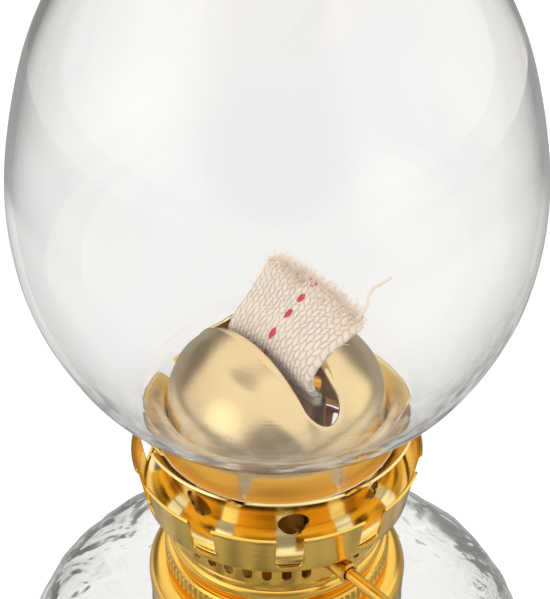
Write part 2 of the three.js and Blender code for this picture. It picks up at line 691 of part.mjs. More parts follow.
// Cage that carries the spindle and covers its wheels, open toward the tube
function wheelCage() {
  const depth = cageFar - cageNear;
  const shell = box(2 * cageHalfLength, depth, 2 * cageHalfHeight, 0, -cageNear - depth / 2, spindleHeight);
  const hollowDepth = depth - CAGE_SHEET + OVERRUN;
  const hollow = box(
    2 * (cageHalfLength - CAGE_SHEET), hollowDepth, 2 * (cageHalfHeight - CAGE_SHEET),
    0, -cageFar + CAGE_SHEET + hollowDepth / 2, spindleHeight,
  );
  const flange = box(
    2 * (WHEEL_PITCH + RIVET_HEAD + CAGE_SHEET), CAGE_SHEET, cageHalfHeight + CAGE_FLANGE,
    0, -cageNear - CAGE_SHEET / 2, spindleHeight + (cageHalfHeight + CAGE_FLANGE) / 2,
  );
  const bearing = alongSpindle(
    circle(SPINDLE_RADIUS + BEARING_CLEARANCE), -cageHalfLength - OVERRUN, cageHalfLength + OVERRUN, SMALL_STEPS,
  );
  const rivetHoles = rivetPlaces.map((x) => across(
    circle(RIVET_RADIUS + CLEARANCE), x, rivetHeight,
    cageNear - OVERRUN / 4, cageNear + CAGE_SHEET + CLEARANCE,
  ));
  return cut(join(shell, [flange]), [hollow, bearing, ...rivetHoles]);
}
piece('wheel_cage', wheelCage(), 'brass', wickFrame);

rivetPlaces.forEach((x, i) => {
  const shank = cageNear + CAGE_SHEET + CLEARANCE - tubeOuterHalf + TUBE_WALL;
  const rivet = new THREE.LatheGeometry([
    at(0, -shank),
    at(RIVET_RADIUS, -shank),
    at(RIVET_RADIUS, 0),
    at(RIVET_HEAD, 0),
    ...arc(0, 0, RIVET_HEAD, RIVET_HEAD_HEIGHT, Math.PI / 6, Math.PI / 2, 3),
  ], SMALL_STEPS / 2);
  rivet.rotateX(Math.PI);
  rivet.translate(x, -cageNear - CAGE_SHEET - CLEARANCE, rivetHeight);
  piece(`cage_rivet_${i + 1}`, rivet, 'brass', wickFrame);
});

// Sleeve that leads the spindle out through the basket
piece('spindle_sleeve', cut(
  alongSpindle(circle(sleeveRadius), SLEEVE_START, SLEEVE_START + SLEEVE_LENGTH, ROUND_STEPS),
  [alongSpindle(
    circle(SPINDLE_RADIUS + BEARING_CLEARANCE), SLEEVE_START - OVERRUN, SPINDLE_REACH, SMALL_STEPS,
  )],
), 'brass', wickFrame);

// Spindle with its wheels, washer and knob
piece('spindle', alongSpindle(
  circle(SPINDLE_RADIUS), -SPINDLE_END, SPINDLE_REACH, SMALL_STEPS,
), 'brass', wickFrame);

// A tooth's flat tip, as shares of the pitch
const toothShares = [0.42, 0.58];
function wheelOutline() {
  const shape = new THREE.Shape();
  const hub = WHEEL_RADIUS - WHEEL_TOOTH;
  const step = Math.PI * 2 / WHEEL_TEETH;
  for (let i = 0; i < WHEEL_TEETH; i++) {
    const start = step * i;
    const corners = [[hub, 0], ...toothShares.map((share) => [WHEEL_RADIUS, share])];
    corners.forEach(([r, share], k) => {
      const angle = start + step * share;
      if (i || k) shape.lineTo(r * Math.cos(angle), r * Math.sin(angle));
      else shape.moveTo(r * Math.cos(angle), r * Math.sin(angle));
    });
  }
  shape.closePath();
  const bore = new THREE.Path();
  bore.absarc(0, 0, SPINDLE_RADIUS + CLEARANCE, 0, Math.PI * 2, true);
  shape.holes.push(bore);
  return shape;
}
wheelPlaces.forEach((x, i) => {
  const wheel = alongSpindle(wheelOutline(), x - WHEEL_THICKNESS / 2, x + WHEEL_THICKNESS / 2, 4);
  piece(`spur_wheel_${i + 1}`, wheel, 'brass', wickFrame);
});

piece('spindle_washer', turnedOnSpindle(
  ringSection(SPINDLE_RADIUS + CLEARANCE, WASHER_RADIUS, 0, WASHER_THICKNESS),
  -cageHalfLength - CLEARANCE - WASHER_THICKNESS, SMALL_STEPS,
), 'brass', wickFrame);

const knobFace = SPINDLE_REACH + CLEARANCE;
const knobBack = SPINDLE_REACH - KNOB_THICKNESS;
const knobBore = alongSpindle(
  circle(SPINDLE_RADIUS + CLEARANCE), knobBack - KNOB_HUB_LENGTH - OVERRUN, SPINDLE_REACH + OVERRUN, 4,
);
piece('wick_knob', cut(alongSpindle(
  milledOutline(KNOB_RADIUS, KNOB_FLUTE_DEPTH, KNOB_FLUTES), knobBack, SPINDLE_REACH,
), [knobBore]), 'brass', wickFrame);
piece('knob_cap', turnedOnSpindle([
  at(0, 0),
  at(KNOB_CAP_RADIUS, 0),
  ...arc(0, 0, KNOB_CAP_RADIUS, KNOB_CAP_HEIGHT, Math.PI / 6, Math.PI / 2, 3),
], knobFace, SMALL_STEPS * 2), 'brass', wickFrame);
piece('knob_hub', turnedOnSpindle(
  ringSection(SPINDLE_RADIUS + CLEARANCE, KNOB_HUB_RADIUS, 0, KNOB_HUB_LENGTH - CLEARANCE),
  knobBack - KNOB_HUB_LENGTH, SMALL_STEPS,
), 'brass', wickFrame);

// Wick: a flat woven strip. Its length in the tube and the font is straight, its end leans out of the slot
const wickJoint = tubeTop + WICK_JOINT_RISE;
const wickStrip = prism(stadium(WICK_WIDTH / 2, WICK_THICKNESS / 2), wickJoint - WICK_TAIL_END, 3);
piece('wick', wickStrip.translate(0, 0, WICK_TAIL_END), 'cotton', wickFrame);

// The strip's middle line rises from the tube, bends and leans back over the slot's far edge
function wickTip() {
  const edgeHeight = deflectorCentre + Math.sqrt(DEFLECTOR_RADIUS ** 2 - FLAME_SLOT_HALF_WIDTH ** 2);
  const clear = WICK_THICKNESS / 2 + CLEARANCE;
  const overEdge = at(
    FLAME_SLOT_HALF_WIDTH - clear * Math.cos(WICK_LEAN),
    edgeHeight + clear * Math.sin(WICK_LEAN),
  );
  const bendStart = overEdge.y - overEdge.x / Math.tan(WICK_LEAN) - WICK_BEND_RADIUS * Math.tan(WICK_LEAN / 2);
  const line = [
    at(0, wickJoint + CLEARANCE),
    ...arc(WICK_BEND_RADIUS, bendStart, WICK_BEND_RADIUS, WICK_BEND_RADIUS, Math.PI, Math.PI - WICK_LEAN, 5),
  ];
  line.push(line[line.length - 1].clone().add(
    at(WICK_SHOWN * Math.sin(WICK_LEAN), WICK_SHOWN * Math.cos(WICK_LEAN)),
  ));
  const near = sheetSection(line, WICK_THICKNESS / 2);
  const far = sheetSection(line, -WICK_THICKNESS / 2);
  const count = line.length;
  const shape = new THREE.Shape([...near.slice(count, 2 * count), ...far.slice(count, 2 * count).reverse()]);
  const geometry = prism(shape, WICK_WIDTH);
  geometry.rotateX(Math.PI / 2).rotateZ(Math.PI / 2);
  return geometry.translate(-WICK_WIDTH / 2, 0, 0);
}
piece('wick_tip', wickTip(), 'cotton', wickFrame);

// Chimney: an egg of clear glass on a straight fitter, open at both ends
const underBulbRiseShares = [0.08, 0.16, 0.28, 0.42, 0.62, 0.84];
const underBulbReachShares = [0.09, 0.3, 0.56, 0.73, 0.9, 0.985];
const overBulbRiseShares = [0.2, 0.33, 0.44, 0.57, 0.71, 0.84];
const overBulbReachShares = [0.91, 0.79, 0.62, 0.4, 0.2, 0.07];

function chimneyOutline() {
  const foot = heightAtRadius(crownLining, FITTER_RADIUS + CLEARANCE);
  const neck = foot + FITTER_HEIGHT;
  const middle = foot + BULB_HEIGHT;
  const top = foot + CHIMNEY_HEIGHT;
  const knots = [at(FITTER_RADIUS, neck)];
  underBulbRiseShares.forEach((rise, i) => knots.push(at(
    FITTER_RADIUS + (BULB_RADIUS - FITTER_RADIUS) * underBulbReachShares[i],
    neck + (middle - neck) * rise,
  )));
  knots.push(at(BULB_RADIUS, middle));
  overBulbRiseShares.forEach((rise, i) => knots.push(at(
    CHIMNEY_TOP_RADIUS + (BULB_RADIUS - CHIMNEY_TOP_RADIUS) * overBulbReachShares[i],
    middle + (top - middle) * rise,
  )));
  knots.push(at(CHIMNEY_TOP_RADIUS, top - CHIMNEY_EDGE));
  return [
    at(FITTER_RADIUS - CHIMNEY_EDGE, foot),
    at(FITTER_RADIUS, foot + CHIMNEY_EDGE),
    ...knots,
    at(CHIMNEY_TOP_RADIUS - CHIMNEY_EDGE, top),
  ];
}
piece('chimney', turned(sheetSection(chimneyOutline(), CHIMNEY_WALL)), 'glass');

export default lamp;
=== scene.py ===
import math
import random

import bpy
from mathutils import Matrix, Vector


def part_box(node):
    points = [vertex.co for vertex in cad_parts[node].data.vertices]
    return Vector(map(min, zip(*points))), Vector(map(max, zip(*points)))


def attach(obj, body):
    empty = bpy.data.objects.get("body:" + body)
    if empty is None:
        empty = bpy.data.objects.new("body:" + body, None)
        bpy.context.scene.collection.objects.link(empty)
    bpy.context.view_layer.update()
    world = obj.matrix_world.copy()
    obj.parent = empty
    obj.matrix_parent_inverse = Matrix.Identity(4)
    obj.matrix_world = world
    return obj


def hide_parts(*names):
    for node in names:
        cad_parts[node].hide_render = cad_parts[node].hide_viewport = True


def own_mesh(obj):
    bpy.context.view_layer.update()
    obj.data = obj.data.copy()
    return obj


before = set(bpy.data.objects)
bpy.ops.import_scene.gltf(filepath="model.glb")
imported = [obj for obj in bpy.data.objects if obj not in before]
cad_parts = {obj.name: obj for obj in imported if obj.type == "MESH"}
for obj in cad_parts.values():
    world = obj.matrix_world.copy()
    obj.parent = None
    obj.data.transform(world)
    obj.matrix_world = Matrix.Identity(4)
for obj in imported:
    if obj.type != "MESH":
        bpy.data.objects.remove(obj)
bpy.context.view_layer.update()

# Font: the oil bowl, pressed in clear glass with an uneven raised pattern on its outside. It stands on a
# low foot ring round a shallow hollow, and its neck carries the cemented collar.
mm = 0.001
pole = 0.003


def choose(piece=None):
    """Leaves only this piece selected, or nothing."""
    bpy.ops.object.select_all(action="DESELECT")
    if piece:
        piece.select_set(True)
        bpy.context.view_layer.objects.active = piece


def pull_ring(name, stations, sides=128):
    """Pulls a ring of edges from one radius and height in mm to the next, then closes poles and seams."""
    choose()
    radius, height = stations[0]
    bpy.ops.mesh.primitive_circle_add(
        vertices=sides, radius=max(radius, pole) * mm, location=(0, 0, height * mm))
    piece = bpy.context.object
    piece.name = name
    bpy.ops.object.transform_apply(location=True, rotation=False, scale=False)
    bpy.ops.object.mode_set(mode="EDIT")
    bpy.ops.mesh.select_all(action="SELECT")
    for (near, low), (far, high) in zip(stations, stations[1:]):
        bpy.ops.mesh.extrude_region_move(TRANSFORM_OT_translate={"value": (0, 0, (high - low) * mm)})
        grow = max(far, pole) / max(near, pole)
        bpy.ops.transform.resize(value=(grow, grow, 1), center_override=(0, 0, high * mm))
    bpy.ops.mesh.select_all(action="SELECT")
    bpy.ops.mesh.remove_doubles(threshold=0.01 * mm)
    bpy.ops.mesh.normals_make_consistent(inside=False)
    bpy.ops.object.mode_set(mode="OBJECT")
    return piece


def bow(radius, height, reach, rise, start, end, steps):
    """Stations on part of an ellipse round one centre, from one angle in degrees to another."""
    angles = [math.radians(start + (end - start) * i / steps) for i in range(steps + 1)]
    return [(radius + reach * math.cos(a), height + rise * math.sin(a)) for a in angles]


def finish_modifiers(piece):
    """Applies the modifiers of a piece in their order."""
    choose(piece)
    for modifier in list(piece.modifiers):
        bpy.ops.object.modifier_apply(modifier=modifier.name)


class Wire:
    """A socket of a finish's nodes, on which sums can be written as they are."""

    def __init__(self, tree, socket=None):
        self.tree = tree
        self.socket = socket

    def node(self, kind, settings=None, inputs=None, out=0):
        made = self.tree.nodes.new(kind)
        for key, value in (settings or {}).items():
            setattr(made, key, value)
        for key, value in (inputs or {}).items():
            if isinstance(value, Wire):
                self.tree.links.new(value.socket, made.inputs[key])
            else:
                made.inputs[key].default_value = value
        if isinstance(out, tuple):
            return [Wire(self.tree, made.outputs[one]) for one in out]
        return Wire(self.tree, made.outputs[out] if made.outputs else None)

    def rays(self, *kinds):
        """For each of these kinds, 1 where a ray of that kind looks."""
        return self.node("ShaderNodeLightPath", out=tuple(f"Is {kind} Ray" for kind in kinds))

    def sum(self, operation, *values):
        return self.node("ShaderNodeMath", {"operation": operation}, dict(enumerate(values)))

    def of(self, operation, *values):
        """This value under an operation, with a second value where that needs one."""
        return self.sum(operation, self, *values)

    def __add__(self, other):
        return self.sum("ADD", self, other)

    def __radd__(self, other):
        return self.sum("ADD", other, self)

    def __sub__(self, other):
        return self.sum("SUBTRACT", self, other)

    def __rsub__(self, other):
        return self.sum("SUBTRACT", other, self)

    def __mul__(self, other):
        return self.sum("MULTIPLY", self, other)

    def __rmul__(self, other):
        return self.sum("MULTIPLY", other, self)

    def __truediv__(self, other):
        return self.sum("DIVIDE", self, other)

    def between(self, low, high):
        """0 below low and 1 above high, smooth between them."""
        return self.node("ShaderNodeMapRange", {"interpolation_type": "SMOOTHSTEP"},
                         {"Value": self, "From Min": low, "From Max": high})

    def blend(self, mask, first, second):
        return self.node("ShaderNodeMix", {"data_type": "RGBA"}, {0: mask, 6: first, 7: second}, out=2)


def noise(place, scale, detail, **more):
    """Soft random clouds over these coordinates."""
    return place.node("ShaderNodeTexNoise", {}, {"Vector": place, "Scale": scale, "Detail": detail, **more})


def raised(height, strength, depth):
    """A surface that rises by up to the depth in mm where the height is 1."""
    return height.node("ShaderNodeBump", {}, {"Strength": strength, "Distance": depth * mm, "Height": height})


def surface(paint, values):
    """Ends a finish with one surface that has these values."""
    made = paint.node("ShaderNodeBsdfPrincipled", {}, values)
    paint.node("ShaderNodeOutputMaterial", {}, {"Surface": made})


def new_finish(name):
    finish = bpy.data.materials.new(name)
    finish.use_nodes = True
    finish.node_tree.nodes.clear()
    return finish, Wire(finish.node_tree)


def coat(piece, finish, smooth_to=None):
    """Gives a piece its finish, shaded smooth over edges of up to so many degrees."""
    piece.data.materials.clear()
    piece.data.materials.append(finish)
    if smooth_to:
        choose(piece)
        bpy.ops.object.shade_smooth_by_angle(angle=math.radians(smooth_to))


def clear_glass(name, tint, edge_tint, waves, wave_size, wave_depth, roughness):
    """Clear glass, greyer where sight runs along the wall, that lets shadows and mirrored light through."""
    finish, paint = new_finish(name)
    place = paint.node("ShaderNodeTexCoord", out=3)
    relief = noise(place, waves, 2.0, Distortion=0.6)
    smear = noise(place, 38.0, 4.0)
    facing = paint.node("ShaderNodeLayerWeight", {}, {"Blend": 0.5}, out=1)
    colour = paint.blend(facing.of("POWER", 3.4), (*tint, 1), (*edge_tint, 1))
    glass = paint.node("ShaderNodeBsdfPrincipled", {}, {
        "Base Color": colour, "Roughness": roughness * smear.between(0.3, 0.8), "IOR": 1.46,
        "Transmission Weight": 1.0, "Normal": raised(relief, wave_depth, wave_size)})
    shadow, diffuse, shiny, bent = paint.rays("Shadow", "Diffuse", "Glossy", "Transmission")
    unseen = shadow.of("MAXIMUM", diffuse.of("MAXIMUM", shiny - bent))
    through = paint.node("ShaderNodeBsdfTransparent", {}, {"Color": (0.97, 0.975, 0.97, 1)})
    mixed = paint.node("ShaderNodeMixShader", {}, {0: unseen, 1: glass, 2: through})
    paint.node("ShaderNodeOutputMaterial", {}, {"Surface": mixed})
    return finish


font_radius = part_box("font")[1].x / mm
neck_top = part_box("font_neck")[1].z / mm
neck_bore, shoulder_height = 27.6, neck_top - 13
belly, foot_radius, neck_radius = 65, 46.5, 34.5
shoulder = []
for i, (radius, height) in enumerate(
        bow(neck_radius, belly, font_radius - neck_radius, shoulder_height - belly, 2, 90, 24)):
    angle = math.radians(2 + 88 * i / 24)
    swell = 1.7 * math.sin(2 * angle)
    shoulder.append((radius + swell * math.cos(angle), height + swell * math.sin(angle)))
outside = [
    (0, 2.5), (38.5, 2.5), (41, 0.2), (41.6, 0), *bow(foot_radius, 1.5, 1.5, 1.5, -90, 0, 5),
    *bow(foot_radius, belly, font_radius - foot_radius, belly - 6, -90, 0, 34), *shoulder,
    *bow(33.6, shoulder_height + 2.6, 2.6, 2.6, -90, -180, 4),
    (31, neck_top - 0.8), (30.2, neck_top),
]
inside = [
    (28.4, neck_top), (neck_bore, neck_top - 0.8), (neck_bore, shoulder_height - 4),
    *bow(neck_bore, belly, font_radius - 4 - neck_bore, shoulder_height - 4 - belly, 84, 0, 20),
    *bow(foot_radius - 4, belly, font_radius - foot_radius, belly - 8, -4, -90, 22),
    (30, 6.5), (0, 6.5),
]
font_sides, pattern_fade = 160, 6
font = pull_ring("pressed_font", outside + inside, font_sides)
pattern_skin = font.vertex_groups.new(name="pattern")
for vertex in font.data.vertices:
    x, y, z = vertex.co / mm
    wide = math.hypot(x, y)
    centre, rise = (foot_radius, belly - 6) if z < belly else (neck_radius, shoulder_height - belly)
    wall = math.hypot((wide - centre) / (font_radius - centre), (z - belly) / rise)
    if wide > neck_radius + 0.05 * (font_radius - neck_radius) and z > 9 and wall > 0.975:
        fade = min(1, (z - 9) / pattern_fade, max(0, shoulder_height - 0.6 - z) / 1.5)
        pattern_skin.add([vertex.index], max(0, fade), "REPLACE")
relief_depth = 1.3
for pattern, kind, size in (("pressed pebbles", "VORONOI", 13), ("pressed swirls", "CLOUDS", 9)):
    texture = bpy.data.textures.new(pattern, kind)
    texture.noise_scale = size * mm
    if kind == "VORONOI":
        texture.distance_metric = "DISTANCE_SQUARED"
    press = font.modifiers.new(pattern, "DISPLACE")
    press.texture = texture
    press.vertex_group = "pattern"
    press.strength = -relief_depth * mm
    press.mid_level = 0.35
finish_modifiers(font)
pressed_glass = clear_glass("pressed glass", (0.97, 0.975, 0.97), (0.62, 0.63, 0.63), 75.0, 2.2, 0.65, 0.02)
coat(font, pressed_glass, 60)
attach(font, "font_body")
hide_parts("font", "font_floor", "font_shoulder", "font_neck")


# Collar: a spun brass shell with a rounded shoulder, cemented over the font's neck. Its inner sleeve
# takes the burner's thread, and a thin bead is rolled at its foot.
def golden(name, colour, roughness, tarnish=0.35, bump=0.06, turned=True):
    """Sheet brass: drawn or spun lines, faint smears and slightly redder, duller places."""
    finish, paint = new_finish(name)
    place = paint.node("ShaderNodeTexCoord", out=3)
    stretch = (60.0, 60.0, 2600.0) if turned else (900.0, 900.0, 900.0)
    long_way = paint.node("ShaderNodeMapping", {}, {"Vector": place, "Scale": stretch})
    lines = noise(long_way, 1.0, 3.0)
    smears = noise(place, 90.0, 5.0)
    spots = noise(place, 420.0, 2.0)
    dull = smears.between(0.45, 0.75) * tarnish
    darker = tuple(share * part for share, part in zip(colour, (0.9, 0.82, 0.66)))
    skin = paint.blend(dull, (*colour, 1), (*darker, 1))
    rough = roughness + 0.05 * lines + 0.1 * dull + 0.03 * spots
    dents = raised(lines * 0.6 + smears * 0.8, bump, 0.4)
    surface(paint, {"Base Color": skin, "Roughness": rough, "Metallic": 1.0, "Normal": dents})
    return finish


brass_colour = (0.93, 0.57, 0.11)
bright_brass = golden("bright brass", (0.97, 0.78, 0.36), 0.13, bump=0.1)
rolled_brass = golden("rolled brass", brass_colour, 0.13, bump=0.1)
struck_brass = golden("struck brass", brass_colour, 0.09, bump=0.12, turned=False)

collar_low, collar_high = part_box("font_collar")
foot, top = collar_low.z / mm, collar_high.z / mm
wide = collar_high.x / mm
collar = pull_ring("spun_collar", [
    (wide - 1.6, foot), (wide - 0.8, foot), (wide - 0.45, foot + 0.25), (wide - 0.4, foot + 0.8),
    (wide - 0.62, foot + 1.3), (wide - 0.55, foot + 2.2), (wide - 0.1, top - 5.4),
    *bow(wide - 4, top - 4.7, 4, 4.7, 4, 86, 14), (wide - 4.6, top), (27.2, top),
    *bow(26.5, top - 0.9, 0.9, 0.9, 90, 180, 4), (25.6, top - 10), (26.5, top - 10), (26.5, top - 1.9),
    (wide - 4.2, top - 0.95), *bow(wide - 4, top - 4.7, 3.1, 3.8, 86, 0, 8),
    (wide - 1.5, foot + 1.4), (wide - 1.6, foot),
], 144)
coat(collar, rolled_brass, 50)
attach(collar, "font_body")
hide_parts("font_collar")

# Cement between neck and collar: grey-white plaster, poured in and left rough. It shows only through the
# glass of the neck, so the solid keeps its shape.
plaster, paint = new_finish("collar plaster")
place = paint.node("ShaderNodeTexCoord", out=3)
grains = noise(place, 700.0, 4.0)
patches = noise(place, 120.0, 2.0)
chalk = paint.blend(patches.between(0.35, 0.7), (0.74, 0.70, 0.62, 1), (0.62, 0.57, 0.48, 1))
pits = raised(grains, 0.6, 0.5)
surface(paint, {"Base Color": chalk, "Roughness": 0.85 + 0.1 * grains, "Normal": pits})
coat(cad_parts["collar_cement"], plaster)


# Screw ring: the milled grip by which the burner is screwed into the collar, with a rolled thread on the
# skirt below it. Its teeth are knurled into the drawn ring.
def cut_out(piece, tools):
    """Joins the tools into one and takes them out of the piece."""
    choose()
    for tool in tools:
        tool.select_set(True)
    bpy.context.view_layer.objects.active = tools[0]
    if len(tools) > 1:
        bpy.ops.object.join()
    tool = bpy.context.object
    cut = piece.modifiers.new("cut", "BOOLEAN")
    cut.object = tool
    cut.operation = "DIFFERENCE"
    cut.solver = "EXACT"
    finish_modifiers(piece)
    bpy.data.objects.remove(tool)


def seat(piece):
    """Moves a piece's place, turn and size into its mesh."""
    choose(piece)
    bpy.ops.object.transform_apply(location=True, rotation=True, scale=True)


ring_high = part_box("screw_ring")[1]
foot, top = ring_high.z / mm - 7, ring_high.z / mm
wide = ring_high.x / mm
turns, ring_sides = 4, 288
thread = [(25.15 if i % 2 else 24.75, foot - 8.8 + i * 8.4 / (turns * 2)) for i in range(turns * 2 + 1)]
screw_ring = pull_ring("milled_ring", [
    (24.3, foot - 9), (24.7, foot - 9), *thread, (25.1, foot), (wide - 1.6, foot), (wide - 0.5, foot + 0.6),
    (wide - 0.25, foot + 1.2), (wide, foot + 1.7), (wide, top - 1.7), (wide - 0.25, top - 1.2),
    (wide - 0.7, top - 0.5), (wide - 2, top), (24.6, top), (24.3, top - 0.3), (24.3, foot - 9),
], ring_sides)
bpy.ops.object.mode_set(mode="EDIT")
bpy.ops.mesh.select_all(action="DESELECT")
bpy.ops.object.mode_set(mode="OBJECT")
for vertex in screw_ring.data.vertices:
    x, y, z = vertex.co / mm
    turn = round(math.atan2(y, x) / (2 * math.pi) * ring_sides)
    vertex.select = turn % 3 == 0 and math.hypot(x, y) > wide - 0.1
bpy.ops.object.mode_set(mode="EDIT")
pressed_in = 0.9775
bpy.ops.transform.resize(value=(pressed_in, pressed_in, 1), center_override=(0, 0, 0))
bpy.ops.object.mode_set(mode="OBJECT")
coat(screw_ring, rolled_brass, 28)
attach(screw_ring, "burner")
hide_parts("screw_ring")

# Base plate: a disc of brass with a bold rolled bead, which closes the font and carries the wick tube.
# The tube's and the vent's holes are punched through it.
wick_turn = -50


def along_wick(place, turn=wick_turn):
    """Turns a place that is given along and across the wick into the lamp's own X and Y."""
    across = math.radians(turn)
    x, y = place
    return (x * math.cos(across) - y * math.sin(across), x * math.sin(across) + y * math.cos(across))


def turn_with_wick(piece):
    """Turns a piece from the lamp's own X to the wick's width."""
    seat(piece)
    piece.rotation_euler = (0, 0, math.radians(wick_turn))
    seat(piece)


def bar(radius, length, place, turn=(0, 0, 0), sides=48):
    """A round bar in mm, with its middle at this place."""
    choose()
    bpy.ops.mesh.primitive_cylinder_add(vertices=sides, radius=radius * mm, depth=length * mm,
                                        rotation=turn, location=[v * mm for v in place])
    return bpy.context.object


def slot_tool(half_length, half_width, low, high):
    """A flat bar with round ends, to cut a slot for the wick."""
    tool = bar(half_width, high - low, (0, 0, (high + low) / 2))
    straight = half_length - half_width
    for vertex in tool.data.vertices:
        vertex.co.x += straight * mm if vertex.co.x > 0.0001 * mm else -straight * mm
    turn_with_wick(tool)
    return tool


plate_low, plate_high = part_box("base_plate")
foot, top = plate_low.z / mm, plate_high.z / mm
wide = plate_high.x / mm
middle = (foot + top) / 2
base_plate = pull_ring("beaded_plate", [
    (0, top - 0.8), (wide - 4.2, top - 0.8), (wide - 3.4, top - 1.2), (wide - 3.1, foot),
    *bow(wide - 2.3, middle, 2.3, 2.3, -88, 62, 16), (wide - 1.6, top - 0.12), (wide - 2.4, top - 0.1),
    (wide - 3.2, top), (0, top),
], 144)
hole = slot_tool(18.3, 2.8, foot - 3, top + 3)
vent_hole = bar(2.5, 10, (*along_wick((0, 9)), middle), sides=32)
seat(vent_hole)
cut_out(base_plate, [hole, vent_hole])
coat(base_plate, rolled_brass, 40)
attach(base_plate, "burner")
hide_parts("base_plate")

# Air basket: a drawn wall, pierced with upright slots that let the air in under the flame. It stands on the
# plate inside the bead and holds the crown up.
basket_low, basket_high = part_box("air_basket")
foot, top = basket_low.z / mm, basket_high.z / mm
air_basket = pull_ring("pierced_basket", [
    (28.4, foot), (29, foot), (29.08, foot + 1.2), (29.45, foot + 1.7), (29.2, foot + 2.2), (29.3, foot + 3),
    (30.4, top), (29.8, top), (28.7, foot + 3), (28.4, foot),
], 216)
slots = []
slot_foot, slot_top, slot_half = foot + 4, top - 1.3, 1.3
for i in range(36):
    azimuth = math.radians(5 + 10 * i)
    if abs(azimuth - math.acos(6 / 29) - math.radians(wick_turn)) < 4.9 / 29:
        continue
    slot = bar(slot_half, 8, (0, -29.5, 0), (math.pi / 2, 0, 0), 20)
    seat(slot)
    reach = (slot_top - slot_foot) / 2 - slot_half
    for vertex in slot.data.vertices:
        vertex.co.z += (reach if vertex.co.z > 0 else -reach) * mm + (slot_foot + slot_top) / 2 * mm
    slot.rotation_euler = (0, 0, azimuth)
    seat(slot)
    slots.append(slot)
spindle_line = -6.0
spindle_height = (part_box("spindle")[0].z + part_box("spindle")[1].z) / 2 / mm
sleeve_hole = bar(3.0, 12, (28, spindle_line, spindle_height), (0, math.pi / 2, 0))
turn_with_wick(sleeve_hole)
cut_out(air_basket, [*slots, sleeve_hole])
coat(air_basket, struck_brass, 30)
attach(air_basket, "burner")
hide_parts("air_basket")

# Gallery band: a strip drawn to a ring that leans outward, notched from its top edge into ten lugs. A narrow
# flange is turned in at its foot, and each lug ends in a small bright lip where the sheet was sheared.
def sheet_section(outline, wall):
    """A line of stations, and the same line set over to its left by the wall, as one closed section."""
    other = []
    for i, (radius, height) in enumerate(outline):
        before, after = outline[max(i - 1, 0)], outline[min(i + 1, len(outline) - 1)]
        along = (after[0] - before[0], after[1] - before[1])
        length = math.hypot(*along)
        other.append((radius - along[1] / length * wall, height + along[0] / length * wall))
    return [*outline, *reversed(other), outline[0]]


def face_out(piece):
    """Turns all faces of a closed piece outward."""
    choose(piece)
    bpy.ops.object.mode_set(mode="EDIT")
    bpy.ops.mesh.select_all(action="SELECT")
    bpy.ops.mesh.normals_make_consistent(inside=False)
    bpy.ops.object.mode_set(mode="OBJECT")


def shear_edges(piece, width):
    """Breaks the sharp edges of a cut sheet by this width in mm."""
    edge = piece.modifiers.new("sheared edge", "BEVEL")
    edge.width = width * mm
    edge.segments = 2
    edge.limit_method = "ANGLE"
    edge.angle_limit = math.radians(50)
    finish_modifiers(piece)


def punch(outline, near, far, azimuth, height):
    """A tool with an outline in mm, tangent and height, pushed outward at an angle from the front."""
    choose()
    bpy.ops.mesh.primitive_cylinder_add(vertices=len(outline), radius=1, depth=1)
    tool = bpy.context.object
    low = [v for v in tool.data.vertices if v.co.z < 0]
    high = [v for v in tool.data.vertices if v.co.z > 0]
    for (tangent, rise), inner, outer in zip(outline, low, high):
        inner.co = (tangent * mm, -near * mm, (height + rise) * mm)
        outer.co = (tangent * mm, -far * mm, (height + rise) * mm)
    tool.rotation_euler = (0, 0, azimuth)
    seat(tool)
    face_out(tool)
    return tool


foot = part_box("gallery_band")[0].z / mm
rise, lean, sheet = 11.7, math.tan(math.radians(10.5)), 0.7
rim = 35.5
lip_radius = rim + rise * lean
band_line = [
    (rim - 2.2, foot), (rim - 1, foot), (rim - 0.4, foot + 0.05), (rim - 0.1, foot + 0.3), (rim, foot + 0.7),
    *[(rim + rise * share * lean, foot + 0.7 + rise * share) for share in (0.15, 0.3, 0.5, 0.7, 0.9, 0.96)],
    (lip_radius + 0.15, foot + 12.4), (lip_radius + 0.45, foot + 12.8), (lip_radius + 0.8, foot + 13.2),
]
gallery_band = pull_ring("notched_band", sheet_section(band_line, sheet), 240)
notch_half, notch_foot = 3.5, foot + 2.2
notch = [(notch_half, 30), (-notch_half, 30), (-notch_half, 1.4)]
notch += [(-notch_half + 1.4 * (1 - math.cos(a)), 1.4 * (1 - math.sin(a)))
          for a in (0.4, 0.8, 1.2, math.pi / 2)]
notch += [(-x, y) for x, y in reversed(notch[2:])]
cut_out(gallery_band, [punch(notch, 30, 45, math.radians(5 + 36 * i), notch_foot) for i in range(10)])
shear_edges(gallery_band, 0.12)
band_brass = golden("band brass", (0.93, 0.61, 0.13), 0.12, bump=0.14)
coat(gallery_band, band_brass, 40)
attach(gallery_band, "burner")
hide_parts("gallery_band")

# Crown: one thin pressing. Its foot curves out to the band's rim and is pierced with a vent hole under each
# petal, and its flare is slit into seven sprung petals that grip the chimney.
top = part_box("crown")[1].z / mm
waist, shoulder, crown_foot = top - 16, top - 10.4, top - 23
wall_radius = 28.9 + 5.6 * math.tan(math.radians(14))
start, handle, end = (wall_radius, shoulder), (31.4, shoulder + 3.8), (36.4, shoulder + 8.6)
petal_line = []
for i in range(13):
    t = i / 12
    petal_line.append(tuple((1 - t) ** 2 * a + 2 * t * (1 - t) * b + t * t * c
                            for a, b, c in zip(start, handle, end)))
crown_line = [
    *bow(34.6, waist, 5.7, 7, -90, -180, 14), (29.5, waist + 2.4), (29.95, waist + 4.2), *petal_line]
crown = pull_ring("petal_crown", sheet_section(crown_line, sheet), 252)
slit_half, corner_round = 0.8, 3.4
corner = bow(5.2, 2.2, -corner_round, corner_round, 0, 90, 6)
